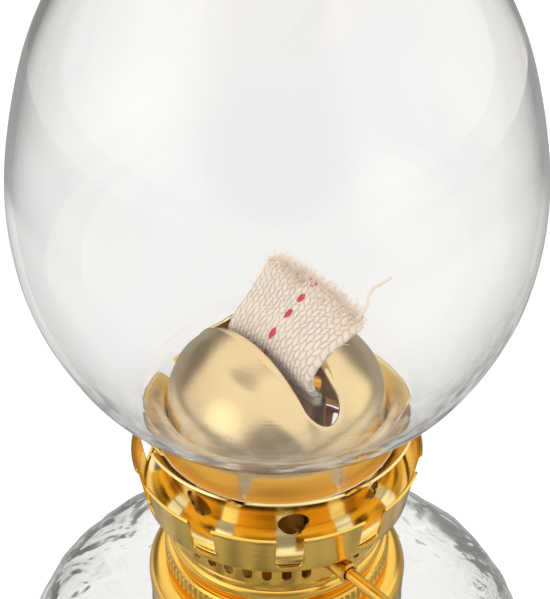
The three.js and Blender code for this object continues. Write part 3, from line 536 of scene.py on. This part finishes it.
slit = [*bow(0, slit_half, slit_half, slit_half, 180, 360, 8), *corner, (5.2, 14), (-5.2, 14),
        *[(-x, y) for x, y in reversed(corner)]]
hole = bow(0, 0, 4.05, 4.05, 0, 352.5, 47)
tools, petals, first_petal = [], 7, math.radians(8.2)
for i in range(petals):
    petal = first_petal + 2 * math.pi * i / petals
    tools.append(punch(hole, 15, 45, petal, crown_foot + 9))
    tools.append(punch(slit, 15, 45, petal + math.pi / petals, top - 7))
cut_out(crown, tools)
shear_edges(crown, 0.15)
coat(crown, bright_brass, 40)
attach(crown, "burner")
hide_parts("crown")

# Draft deflector: a spun dome over the flame with a long slot for the wick, its lips rolled a little inward.
# It is brushed to a satin finish and lacquered, paler than the rest of the burner.
dome_low, dome_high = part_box("draft_deflector")
dome_foot = dome_low.z / mm
dome_centre = dome_foot + 5.5
dome_radius, skirt, dome_sheet, slot_turn = 31.6, 29.2, 0.6, -54
slot_end, slot_half, slot_set = 26.2, 4.9, -1.8
straight, quarter = slot_end - slot_half, math.pi / 2 * slot_half


def link_piece(name, data):
    """Puts a piece with this data into the scene, selected."""
    piece = bpy.data.objects.new(name, data)
    bpy.context.collection.objects.link(piece)
    choose(piece)
    return piece


def new_shell(name, points, faces):
    """A piece made of these corners in metres and these faces."""
    mesh = bpy.data.meshes.new(name)
    mesh.from_pydata(points, [], faces)
    return link_piece(name, mesh)


def slot_edge(share):
    """A place on the slot's outline in the plan, for a share of the way round from its end."""
    corner, part = int(share * 4) % 4, share * 4 % 1
    run = (1 - part if corner % 2 else part) * (straight + quarter)
    angle = min(run / slot_half, math.pi / 2)
    x = straight + slot_half * math.cos(angle) - max(run - quarter, 0)
    y = slot_half * math.sin(angle)
    return x if corner in (0, 3) else -x, slot_set + (y if corner < 2 else -y)


lip = [(1.5 * (i / 12) ** 1.3, 0.42 * (1 - (i / 12) ** 1.3) ** 2) for i in range(12, -1, -1)]
lip[-1] = (0.12, 0.38)
lip += [(0.02, 0.48), (0, 0.6), (0, 0.8), (0.02, 0.92), (0.12, 0.98)]
lip += [(reach, fall + dome_sheet) for reach, fall in lip[11::-1]]
skin = [(1 - i / 34, 0, None) for i in range(35)] + [(0, depth, reach) for reach, depth in lip]
skin += [(i / 16, dome_sheet, None) for i in range(17)]
around = 256
dome_points, dome_faces = [], []
for step in range(around):
    x, y = slot_edge(step / around)
    start = (x / dome_radius, y / dome_radius, math.sqrt(1 - (x * x + y * y) / dome_radius ** 2))
    turn = 2 * math.pi * step / around
    side = (math.cos(turn), math.sin(turn), 0)
    angle = math.acos(sum(p * q for p, q in zip(start, side)))
    places = [(*side[:2], dome_foot, skirt - 0.15), (*side[:2], dome_foot + 0.2, skirt)]
    press_in = 2.0 * max(0, (slot_set - y) / slot_half) * (1 - (x / slot_end) ** 2)
    for share, depth, reach in skin:
        first = lip[0][0] / dome_radius / angle
        part = reach / dome_radius / angle if reach is not None else first + (1 - first) * share
        near, far = math.sin((1 - part) * angle) / math.sin(angle), math.sin(part * angle) / math.sin(angle)
        way = [near * p + far * q for p, q in zip(start, side)]
        size = dome_radius - depth - press_in * (1 - min(part * angle * dome_radius / 13, 1) ** 2) ** 2
        wide = max(math.hypot(way[0], way[1]) * size, 0.01)
        held_in = (1 + (wide / (skirt - depth)) ** 28) ** (-1 / 28)
        places.append((way[0], way[1], dome_centre + way[2] * size, size * held_in))
    places.append((*side[:2], dome_foot, skirt - dome_sheet))
    for u, v, height, size in places:
        px, py = along_wick((u * size, v * size), slot_turn)
        dome_points.append((px * mm, py * mm, height * mm))
rows = len(places)
for step in range(around):
    after = (step + 1) % around
    for row in range(rows):
        above = (row + 1) % rows
        dome_faces.append((step * rows + row, after * rows + row, after * rows + above, step * rows + above))
dome = new_shell("satin_dome", dome_points, dome_faces)
face_out(dome)
satin, paint = new_finish("satin brass")
place = paint.node("ShaderNodeTexCoord", out=3)
brushed = paint.node("ShaderNodeMapping", {}, {"Vector": place, "Scale": (150.0, 150.0, 4200.0)})
lines = noise(brushed, 1.0, 4.0)
clouds = noise(place, 45.0, 4.0)
grit = noise(place, 2600.0, 2.0)
specks = grit.between(0.72, 0.8) * 0.35
skin = paint.blend(clouds.between(0.35, 0.75), (0.95, 0.72, 0.40, 1), (0.90, 0.66, 0.35, 1))
skin = paint.blend(specks, skin, (0.5, 0.36, 0.18, 1))
dents = raised(lines + 1.5 * clouds, 0.1, 0.3)
rough = 0.14 + 0.06 * lines + 0.05 * clouds
surface(paint, {"Base Color": skin, "Roughness": rough, "Metallic": 1.0, "Normal": dents})
coat(dome, satin, 40)
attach(dome, "burner")
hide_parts("draft_deflector")

# Wick tube, vent tube, cage and spur wheels: folded, soldered and cut sheet under the dome. The solids
# already have their shapes, so they only get their metal, darkened by the flame above except the wheels.
sooty = golden("heated brass", (0.62, 0.42, 0.20), 0.3, tarnish=0.8, turned=False)
for name in ("wick_tube", "tube_flange", "vent_tube", "wheel_cage", "cage_rivet_1", "cage_rivet_2"):
    coat(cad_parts[name], sooty)
for i in range(4):
    coat(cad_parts[f"spur_wheel_{i + 1}"], rolled_brass)

# Spindle and its sleeve: a drawn wire that turns in a short tube soldered into the basket, with a washer at
# its inner end. The wire's far end is upset into the knob.
def tube_on_spindle(name, stations, start, sides=64):
    """A turned piece on the spindle's line: its stations run along the wick's width."""
    piece = pull_ring(name, stations, sides)
    piece.rotation_euler = (0, math.pi / 2, 0)
    piece.location = (start * mm, spindle_line * mm, spindle_height * mm)
    turn_with_wick(piece)
    return piece


spindle = tube_on_spindle("drawn_spindle", [
    (0, -16.4), (1.2, -16.4), (1.6, -16.0), (1.6, 68.6), (1.2, 69), (0, 69)], 0, 40)
sleeve = tube_on_spindle("soldered_sleeve", [
    (1.95, 0.2), (2.2, 0), (2.5, 0), (2.7, 0.3), (2.7, 14.2), (2.9, 14.4), (2.9, 14.8), (2.6, 15), (1.95, 15),
    (1.95, 0.2)], 21, 48)
washer = tube_on_spindle("spindle_end_washer", [
    (1.9, 0), (2.8, 0), (3, 0.15), (3, 0.45), (2.8, 0.6), (1.9, 0.6), (1.9, 0)], -15.6, 48)
for piece, body, node in ((spindle, "winder", "spindle"), (washer, "winder", "spindle_washer"),
                          (sleeve, "burner", "spindle_sleeve")):
    coat(piece, rolled_brass, 40)
    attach(piece, body)
    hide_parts(node)

# Knob of the winder: a milled disc on a soldered hub, with a domed cap pressed over its face.
ridges, ridge_foot = 30, 8.2
knob = tube_on_spindle("milled_knob", [
    (1.9, 66), (6.4, 66), (7, 66.25), (8.3, 66.5), (8.9, 66.75), (9, 67), (9, 68), (8.9, 68.3), (8.3, 68.6),
    (7.5, 69), (1.9, 69), (1.9, 66)], 0, 6 * ridges)
turn = math.radians(wick_turn)
direction = (math.cos(turn), math.sin(turn), 0)
root = (spindle_line * -math.sin(turn), spindle_line * math.cos(turn), spindle_height)
for vertex in knob.data.vertices:
    offset = [c / mm - r for c, r in zip(vertex.co, root)]
    ahead = sum(a * b for a, b in zip(offset, direction))
    spoke = [a - ahead * b for a, b in zip(offset, direction)]
    wide = math.hypot(*spoke)
    if wide > ridge_foot:
        side = spoke[0] * direction[1] - spoke[1] * direction[0]
        spin = math.atan2(spoke[2], side)
        depth = 0.6 * (0.5 - 0.5 * math.cos(spin * ridges)) * min(1, (wide - ridge_foot) / 0.5)
        for i in range(3):
            vertex.co[i] -= spoke[i] / wide * depth * mm
cap = tube_on_spindle("domed_cap", [
    (0, 0), (6.8, 0), (7, 0.12), (7, 0.3), (6.7, 0.5), (6.2, 0.5), (5.9, 0.42), (5.6, 0.5),
    *bow(0, 0.5, 5.4, 0.8, 0, 81, 9), (0, 1.3)], 69.3, 96)
hub = tube_on_spindle("soldered_hub", [
    (1.9, 0), (3, 0), (3.2, 0.2), (3.2, 0.9), (2.8, 1.2), (2.8, 2.6), (3.2, 3), (3.2, 3.7), (1.9, 3.7),
    (1.9, 0)], 62, 64)
for piece, node in ((knob, "wick_knob"), (cap, "knob_cap"), (hub, "knob_hub")):
    coat(piece, rolled_brass, 35)
    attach(piece, "winder")
    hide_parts(node)

# Wick: a thick flat strip woven of soft cotton, its stitches slanting in turns along the ribs, with one red
# thread run through its middle. It bends over the slot's far edge and its cut end has gone fluffy.
random.seed(7)
strip_half, strip_thick = 17, 3
lean = math.radians(55)
clear = strip_thick / 2 + 0.3
far_edge = slot_set + slot_half
edge_height = dome_centre + math.sqrt(dome_radius ** 2 - far_edge ** 2) - 0.6
over_edge = (far_edge - clear * math.cos(lean), edge_height + clear * math.sin(lean))
bend = 9
bend_start = over_edge[1] - over_edge[0] / math.tan(lean) - bend * math.tan(lean / 2)
strip_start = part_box("wick_tip")[0].z / mm - 0.2
straight, turned_part, shown = bend_start - strip_start, bend * lean, 16
strip_length = straight + turned_part + shown


def strip_place(run, along):
    """Where the strip's middle is after this run in mm, across the slot and up, and its slope there."""
    sag = 3.2 * ((along - 6) / 23) ** 2 * min(run / straight, 1)
    full = lean + math.radians(11) * along / strip_half
    slack = 2.2 * math.sin(math.pi * min(run / (straight + bend * full), 1) ** 0.7)
    if run <= straight:
        return -slack, strip_start + run - sag, 0
    slope = min((run - straight) / bend, full)
    across, height = bend * (1 - math.cos(slope)), bend_start + bend * math.sin(slope)
    rest = max(run - straight - bend * full, 0)
    return across + rest * math.sin(full) - slack, height + rest * math.cos(full) - sag, slope


def to_lamp(along, across, height):
    """A place given along, across and above the wick, in the lamp's own metres, with the strip's twist."""
    twist = min(max(height - strip_start, 0) / 8, 1)
    x, y = along_wick((along, across), wick_turn + (slot_turn - wick_turn) * twist)
    return x * mm, y * mm, height * mm


rib_width, stitch_length, slant = 1.42, 2.1, 0.55


def stitch(along, run):
    """How far a stitch stands out of the strip's face at this place, from 0 to 1."""
    column = math.floor(along / rib_width)
    share = along / rib_width - column - 0.5
    step = run / stitch_length + (0.5 + share * slant if column % 2 else -share * slant)
    lobe = abs(math.sin(math.pi * step))
    return (1 - (2 * share) ** 4) * (0.35 + 0.65 * lobe ** 0.7)


def off_strip(along, place, onward, upward):
    """A place this far onward from a place on the strip and this far off its face."""
    across, height, slope = place
    return to_lamp(along, across + onward * math.sin(slope) - upward * math.cos(slope),
                   height + onward * math.cos(slope) + upward * math.sin(slope))


across_steps, run_steps = 144, 120
wick_points, wick_uvs, wick_faces = [], [], []
wobble = [random.uniform(-1, 1) for _ in range(60)]


def uneven(value, pace, seed):
    """A slow unevenness from -1 to 1."""
    place = value / pace + seed * 7.3
    low = math.floor(place)
    share = place - low
    share = share * share * (3 - 2 * share)
    return wobble[low % 60] * (1 - share) + wobble[(low + 1) % 60] * share


def cut_back(along):
    """How much shorter than the full strip the crooked cut leaves it at this place."""
    corner = max(0, abs(along) - strip_half + 4) / 4
    return 4.2 - 0.2 * (along + strip_half) / (2 * strip_half) + 1.4 * corner ** 2


for side in (1, -1):
    for j in range(run_steps + 1):
        for i in range(across_steps + 1):
            along = -strip_half + 2 * strip_half * i / across_steps
            run = strip_length * j / run_steps
            cut = cut_back(along)
            run -= cut * max(0, (run - strip_length + 12) / 12)
            edge = 1 - min(1, (strip_half - abs(along)) / 1.6)
            end = max(0, (run - strip_length + cut + 2.2) / 2.2)
            thick = strip_thick / 2 * math.sqrt(max(0, 1 - edge ** 2))
            thick *= math.sqrt(max(0, 1 - end ** 2 * 0.96))
            thick -= 0.27 * (1 - stitch(along + 0.25 * uneven(run, 2.3, 1), run + 0.4 * uneven(along, 3, 2)))
            thick = max(thick, 0.02)
            free = max(0, run - straight) / (turned_part + shown)
            swell = 0.5 * uneven(along, 6, 3) * free + 0.7 * free * free * math.cos(along / 11)
            stray = 0.35 * free * uneven(run, 4, 5 + side)
            width_share = 1 + 0.06 * free ** 0.6 - 0.02 * free * uneven(run, 5, 9)
            end_wave = 0.9 * uneven(along, 3.1, 4) * max(0, (run - strip_length + 8) / 8) ** 2
            wick_points.append(off_strip(along * width_share + stray * 0.5, strip_place(run, along),
                                         end_wave, side * thick + swell))
            wick_uvs.append((along * mm, run * mm))
row = across_steps + 1
face = row * (run_steps + 1)
for side in (0, 1):
    for j in range(run_steps):
        for i in range(across_steps):
            a = side * face + j * row + i
            quad = (a, a + 1, a + row + 1, a + row)
            wick_faces.append(quad if side == 0 else quad[::-1])
woven_wick = new_shell("woven_wick", wick_points, wick_faces)
layer = woven_wick.data.uv_layers.new(name="cloth")
for loop in woven_wick.data.loops:
    layer.data[loop.index].uv = wick_uvs[loop.vertex_index]
bpy.ops.object.mode_set(mode="EDIT")
bpy.ops.mesh.select_all(action="SELECT")
bpy.ops.mesh.remove_doubles(threshold=0.05 * mm)
bpy.ops.mesh.select_all(action="DESELECT")
bpy.ops.mesh.select_non_manifold()
bpy.ops.mesh.edge_face_add()
bpy.ops.mesh.select_all(action="SELECT")
bpy.ops.mesh.normals_make_consistent(inside=False)
bpy.ops.object.mode_set(mode="OBJECT")
bpy.ops.object.shade_smooth()

cotton, paint = new_finish("woven cotton")
cloth = paint.node("ShaderNodeTexCoord", out=2)
fibre_way = paint.node("ShaderNodeMapping", {}, {"Vector": cloth, "Scale": (2600.0, 900.0, 1.0)})
fibres = noise(fibre_way, 1.0, 5.0)
tones = noise(cloth, 210.0, 4.0)
along, run = paint.node("ShaderNodeSeparateXYZ", {}, {0: cloth}, out=(0, 1))
stray = noise(cloth, 520.0, 1.0) - 0.5
rib = (along + stray * 1.1 * mm) / (rib_width * mm)
column = rib.of("FLOOR")
share = rib - column - 0.5
odd = column.of("MODULO", 2).of("ABSOLUTE")
step = (run - stray * 1.8 * mm) / (stitch_length * mm) + share * (odd * 2 - 1) * slant + odd * 0.5
lobe = (step * math.pi).of("SINE").of("ABSOLUTE")
groove = share.of("ABSOLUTE") * 2
hollow = 1 - (1 - groove.of("POWER", 5)) * (lobe.between(0.0, 0.55) * 0.75 + 0.25)
thread = paint.blend(tones.between(0.35, 0.7), (0.93, 0.79, 0.67, 1), (0.90, 0.73, 0.60, 1))
thread = paint.blend(fibres.between(0.3, 0.7) * 0.35, thread, (0.97, 0.88, 0.79, 1))
# Painted shade: the hollows between the ribs and stitches are darkened toward brown in the colour.
skin = paint.blend(hollow * 0.8, thread, (0.60, 0.43, 0.32, 1))
red_line = along - 0.2 * mm
dash = run / (5.0 * mm) + 0.33
reach = (dash - dash.of("FLOOR") - 0.5).of("ABSOLUTE") / 0.29
near = red_line.of("ABSOLUTE") / (0.95 * mm)
red = 1 - (reach * reach + near * near).between(0.75, 1.05)
skin = paint.blend(red, skin, paint.blend(fibres, (0.62, 0.01, 0.03, 1), (0.80, 0.03, 0.07, 1)))
dirt = noise(cloth, 330.0, 1.0)
skin = paint.blend(dirt.between(0.79, 0.81), skin, (0.05, 0.03, 0.03, 1))
fluff = raised(fibres - hollow * 0.8, 0.8, 0.35)
surface(paint, {
    "Base Color": skin, "Roughness": 0.9, "Sheen Weight": 0.25, "Sheen Roughness": 0.6,
    "Normal": fluff})
coat(woven_wick, cotton)

# Fluff and a loose thread at the wick's cut end: single cotton fibres that stand up where the weave opened,
# and one twisted yarn that has worked loose at the far corner.
def strand(name, points, thick, finish, steps):
    """A thread along these places in mm, thinner toward its end."""
    curve = bpy.data.curves.new(name, "CURVE")
    curve.dimensions = "3D"
    curve.bevel_depth = mm
    curve.bevel_resolution = steps
    curve.use_fill_caps = True
    for line, width in zip(points, thick):
        spline = curve.splines.new("POLY")
        spline.points.add(len(line) - 1)
        for i, place in enumerate(line):
            spline.points[i].co = (*place, 1)
            spline.points[i].radius = width * (1 - 0.6 * i / (len(line) - 1))
    link_piece(name, curve)
    bpy.ops.object.convert(target="MESH")
    thread = bpy.context.object
    coat(thread, finish)
    return thread


spread = 1.06
fluff_lines, fluff_widths = [], []
for _ in range(1700):
    along = random.uniform(-strip_half + 0.3, strip_half - 0.3)
    back = abs(random.gauss(0, 2.6))
    run = strip_length - cut_back(along) - back
    out = random.uniform(-1.1, 1.3) + 0.7 * math.cos(along / 11)
    length = random.uniform(1.2, 3.4) if back < 2 else random.uniform(0.8, 1.8)
    heading = [random.gauss(0, 0.5), random.gauss(0.9, 0.35), random.gauss(0.45, 0.45)]
    curl = [random.gauss(0, 0.5) for _ in range(3)]
    line, place = [], strip_place(run, along)
    for i in range(5):
        t = i / 4
        aside = length * t * (heading[0] + curl[0] * t)
        onward = length * t * (heading[1] - 0.35 * t + curl[1] * t * 0.4) - 0.4
        upward = out + length * t * (heading[2] + curl[2] * t)
        line.append(off_strip(along * spread + aside, place, onward, upward))
    fluff_lines.append(line)
    fluff_widths.append(random.uniform(0.06, 0.13))
wool, paint = new_finish("loose cotton")
place = paint.node("ShaderNodeTexCoord", out=3)
tones = noise(place, 500.0, 3.0)
skin = paint.blend(tones.between(0.3, 0.7), (0.94, 0.84, 0.74, 1), (0.90, 0.77, 0.65, 1))
twist = raised(tones, 0.5, 0.1)
surface(paint, {"Base Color": skin, "Roughness": 0.9, "Normal": twist})
coat(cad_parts["wick"], wool)
loose = [(15.6, -1.0, 0.9), (16.3, 1.2, 1.6), (16.4, 3.6, 3.2), (16.0, 5.6, 5.2), (16.3, 7.2, 6.4),
         (17.6, 8.4, 7.4), (19.0, 8.8, 8.6), (20.2, 9.8, 9.8), (21.6, 10.8, 11.2)]
for i in range(30):
    along = -strip_half + 1 + (2 * strip_half - 2) * i / 29 + random.uniform(-0.3, 0.3)
    place = strip_place(strip_length - cut_back(along) - 1.2, along)
    out = random.uniform(-0.6, 0.7) + 0.7 * math.cos(along / 11)
    aside, lift, length = random.gauss(0, 0.35), random.gauss(0.15, 0.4), random.uniform(2, 3.4)
    line = []
    for n in range(6):
        t = n / 5
        bent = length * t * t
        line.append(off_strip((along + aside * bent) * spread, place, length * t, out + lift * bent))
    fluff_lines.append(line)
    fluff_widths.append(random.uniform(0.35, 0.6))
fluff_piece = strand("wick_fluff", fluff_lines, fluff_widths, wool, 1)
place = strip_place(strip_length - 5, 16)
yarns, twist_radius = [], 0.26
for k in range(3):
    line = []
    for n in range(4 * (len(loose) - 1) + 1):
        i, t = min(n // 4, len(loose) - 2), n / 4 - min(n // 4, len(loose) - 2)
        a, b = loose[i], loose[i + 1]
        along, onward, upward = (p + (q - p) * t for p, q in zip(a, b))
        spin = n * 0.9 + k * 2 * math.pi / 3
        line.append(off_strip(along + twist_radius * math.cos(spin), place, onward,
                              upward + twist_radius * math.sin(spin)))
    yarns.append(line)
loose_thread = strand("loose_yarn", yarns, [0.42] * 3, wool, 2)
for piece in (woven_wick, fluff_piece, loose_thread):
    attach(piece, "wick_strip")
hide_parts("wick_tip")
middle = [strip_place(strip_length * i / 60, 0)[:2] for i in range(61)]
cut_length = sum(math.dist(a, b) for a, b in zip(middle, middle[1:]))
cut_length * mm
squash_axis = (*along_wick((0, 1)), 0)
for piece in (woven_wick, fluff_piece, loose_thread):
    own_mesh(piece)

# Chimney: blown clear glass, an egg on a straight fitter. Its upper rim is cut and fire polished, its foot
# stands on the crown between the petals, and its wall is slightly uneven from the blowing.
chimney_low, chimney_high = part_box("chimney")
foot, top = chimney_low.z / mm, chimney_high.z / mm
bulb, fitter, mouth, wall = chimney_high.x / mm, 31.9, 28.5, 2
neck, middle = foot + 9, foot + 75
lower = zip([0.08, 0.16, 0.28, 0.42, 0.62, 0.84], [0.09, 0.3, 0.56, 0.73, 0.9, 0.985])
upper = zip([0.2, 0.33, 0.44, 0.57, 0.71, 0.84], [0.91, 0.79, 0.62, 0.4, 0.2, 0.07])
knots = [(fitter, foot), (fitter, neck)]
knots += [(fitter + (bulb - fitter) * reach, neck + (middle - neck) * rise) for rise, reach in lower]
knots += [(bulb, middle)]
knots += [(mouth + (bulb - mouth) * reach, middle + (top - middle) * rise) for rise, reach in upper]
knots += [(mouth, top)]


def smooth_run(values, places):
    """How fast the slope changes at each place of the smoothest curve through these values."""
    count = len(values)
    bend, work = [0.0] * count, [0.0] * count
    for i in range(1, count - 1):
        share = (places[i] - places[i - 1]) / (places[i + 1] - places[i - 1])
        pivot = share * bend[i - 1] + 2
        bend[i] = (share - 1) / pivot
        rise = (values[i + 1] - values[i]) / (places[i + 1] - places[i])
        rise -= (values[i] - values[i - 1]) / (places[i] - places[i - 1])
        work[i] = (6 * rise / (places[i + 1] - places[i - 1]) - share * work[i - 1]) / pivot
    bend[-1] = 0
    for i in range(count - 2, -1, -1):
        bend[i] = bend[i] * bend[i + 1] + work[i]
    return bend


def on_run(values, places, bend, place):
    """The value of that curve at this place."""
    i = max(n for n in range(len(places) - 1) if places[n] <= place or n == 0)
    span = places[i + 1] - places[i]
    a, b = (places[i + 1] - place) / span, (place - places[i]) / span
    return a * values[i] + b * values[i + 1] + (
        (a ** 3 - a) * bend[i] + (b ** 3 - b) * bend[i + 1]) * span * span / 6


places = [0]
for (r0, z0), (r1, z1) in zip(knots, knots[1:]):
    places.append(places[-1] + math.hypot(r1 - r0, z1 - z0))
radii, heights = [r for r, _ in knots], [z for _, z in knots]
radius_bend, height_bend = smooth_run(radii, places), smooth_run(heights, places)
blown = [(on_run(radii, places, radius_bend, place), on_run(heights, places, height_bend, place))
         for place in (places[-1] * i / 180 for i in range(181))]
for _ in range(15):
    blown = [blown[0]] + [tuple((p + 2 * q + r) / 4 for p, q, r in zip(*three))
                          for three in zip(blown, blown[1:], blown[2:])] + [blown[-1]]
widest = max(radius for radius, _ in blown)
blown = [(radius - (widest - bulb) * max(0, (radius - 50) / 15), height) for radius, height in blown]
line = [s for s in blown[::2] if foot + 0.6 < s[1] < top - 0.8]
section = sheet_section(line, wall)
outer, inner = section[:len(line)], section[len(line):-1]
mouth_round = bow(mouth - wall / 2, top - 1, wall / 2, 1, 10, 170, 8)
foot_round = bow(fitter - wall / 2, foot + 0.8, wall / 2, 0.8, 190, 350, 8)
chimney = pull_ring("blown_chimney", [*outer, *mouth_round, *inner, *foot_round, outer[0]], 192)
blown_glass = clear_glass("blown glass", (0.985, 0.985, 0.98), (0.76, 0.76, 0.755), 42.0, 0.35, 0.05, 0.0)
coat(chimney, blown_glass, 60)
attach(chimney, "chimney_glass")
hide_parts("chimney")

# Studio: a wide pale table top, a white surround, two soft boxes at the sides and one above and behind, and
# a camera above the front, as the lamp was photographed.
choose()
bpy.ops.mesh.primitive_plane_add(size=12, location=(0, 0, 0))
table = bpy.context.object
table.name = "table_top"
paper, paint = new_finish("white paper")
straight_on, mirrored, through = paint.rays("Camera", "Glossy", "Transmission")
spot = paint.node("ShaderNodeTexCoord", out=3)


def far_from(place, near, far):
    """0 within the first distance in metres from this place on the table, 1 beyond the second."""
    away = paint.node("ShaderNodeVectorMath", {"operation": "DISTANCE"}, {0: spot, 1: place}, out=1)
    return away.between(near, far)


patches = noise(spot, 30.0, 2.0)
near_tone = paint.blend(patches.between(0.42, 0.58), (0.06, 0.055, 0.05, 1), (0.42, 0.41, 0.40, 1))
tone = paint.blend(far_from((0, 0, 0), 0.18, 0.4), near_tone, (0.18, 0.175, 0.17, 1))
for place, near, far, colour in (((0.02, -0.38, 0), 0.12, 0.3, (0.30, 0.29, 0.28)),
                                 ((-0.5, 0.05, 0), 0.2, 0.42, (0.70, 0.69, 0.68)),
                                 ((0.75, -0.25, 0), 0.25, 0.7, (0.85, 0.83, 0.78))):
    tone = paint.blend(far_from(place, near, far), (*colour, 1), tone)
clear = paint.blend(far_from((0, 0, 0), 0.6, 1.1), (0.79, 0.78, 0.775, 1), (0.6, 0.6, 0.6, 1))
tone = paint.blend(straight_on, paint.blend(through, tone, clear), (1, 1, 1, 1))
seen = straight_on.of("MAXIMUM", mirrored.of("MAXIMUM", through))
lit = paint.node("ShaderNodeBsdfDiffuse", {}, {"Color": (0.85, 0.85, 0.85, 1)})
glow = paint.node("ShaderNodeEmission", {}, {"Color": tone, "Strength": 1.2})
mixed = paint.node("ShaderNodeMixShader", {}, {0: seen * 0.8, 1: lit, 2: glow})
paint.node("ShaderNodeOutputMaterial", {}, {"Surface": mixed})
coat(table, paper)

world = bpy.data.worlds.new("studio")
bpy.context.scene.world = world
world.use_nodes = True
world.node_tree.nodes.clear()
sky = Wire(world.node_tree)
direction = sky.node("ShaderNodeTexCoord", out=0)
up = sky.node("ShaderNodeSeparateXYZ", {}, {0: direction}, out=2)


def toward(place, outer, inner):
    """1 near this direction and 0 farther from it, by two angles in degrees."""
    dot = sky.node("ShaderNodeVectorMath", {"operation": "DOT_PRODUCT"}, {0: direction, 1: place}, out=1)
    return dot.between(math.cos(math.radians(outer)), math.cos(math.radians(inner)))


shade = sky.blend(up.between(0.0, 0.7), (0.85, 0.84, 0.83, 1), (1.08, 1.07, 1.05, 1))
for place, outer, inner, colour in (
        ((-0.81, -0.47, 0.34), 26, 6, (1.6, 1.58, 1.5)),
        ((0.0, -0.98, 0.16), 38, 22, (0.33, 0.32, 0.31)),
        ((-0.62, 0.78, 0.0), 34, 18, (0.20, 0.19, 0.18)),
        ((0.64, 0.76, 0.05), 30, 12, (0.26, 0.25, 0.24)),
        ((0.98, 0.17, 0.09), 28, 8, (1.15, 1.12, 1.02)),
        ((-0.23, 0.19, 0.95), 20, 8, (0.60, 0.58, 0.56))):
    shade = sky.blend(toward(place, outer, inner), shade, (*colour, 1))
straight_on, through, diffuse = sky.rays("Camera", "Transmission", "Diffuse")
plain = straight_on.of("MAXIMUM", through)
soft = sky.blend(up.between(-0.2, 0.8), (0.75, 0.74, 0.73, 1), (1, 1, 1, 1))
shade = sky.blend(diffuse, shade, soft)
studio_light = sky.node("ShaderNodeBackground", {}, {"Color": shade, "Strength": 1.0})
blots = noise(direction, 5.0, 1.0)
dim = blots.between(0.5, 0.64) * up.between(-0.3, 0.0)
bent_light = sky.blend(dim, (0.78, 0.78, 0.78, 1), (0.24, 0.24, 0.24, 1))
backdrop = sky.blend(through, (1, 1, 1, 1), bent_light)
white = sky.node("ShaderNodeBackground", {}, {"Color": backdrop, "Strength": 1.0})
mixed = sky.node("ShaderNodeMixShader", {}, {0: plain, 1: studio_light, 2: white})
sky.node("ShaderNodeOutputWorld", {}, {"Surface": mixed})


def soft_box(name, place, aim, width, height, power):
    bpy.ops.object.light_add(type="AREA", location=place)
    box = bpy.context.object
    box.name = name
    box.data.shape = "RECTANGLE"
    box.data.size, box.data.size_y = width, height
    box.data.energy = power
    box.visible_glossy = box.visible_transmission = False
    away = [a - b for a, b in zip(place, aim)]
    flat = math.hypot(away[0], away[1])
    box.rotation_euler = (math.atan2(flat, away[2]), 0, math.atan2(away[1], away[0]) + math.pi / 2)


soft_box("left_box", (-1.5, -0.8, 0.75), (0, 0, 0.17), 0.9, 1.0, 6.3)
soft_box("right_box", (1.6, 0.1, 0.8), (0, 0, 0.17), 0.8, 1.0, 5.5)
soft_box("top_box", (0.1, 0.9, 1.7), (0, 0, 0.15), 1.2, 0.8, 4.6)

bpy.ops.object.camera_add()
camera = bpy.context.object
camera.name = "camera"
camera.data.lens = 120.2
elevation, distance = math.radians(36.5), 0.5
aim = (-0.0005, 0, dome_high.z + 10.6 * mm)
camera.location = (aim[0], -distance * math.cos(elevation), aim[2] + distance * math.sin(elevation))
camera.rotation_euler = (math.pi / 2 - elevation, 0, 0)
camera.data.clip_start = 0.01
bpy.context.scene.camera = camera
bpy.context.scene.view_settings.view_transform = "Standard"
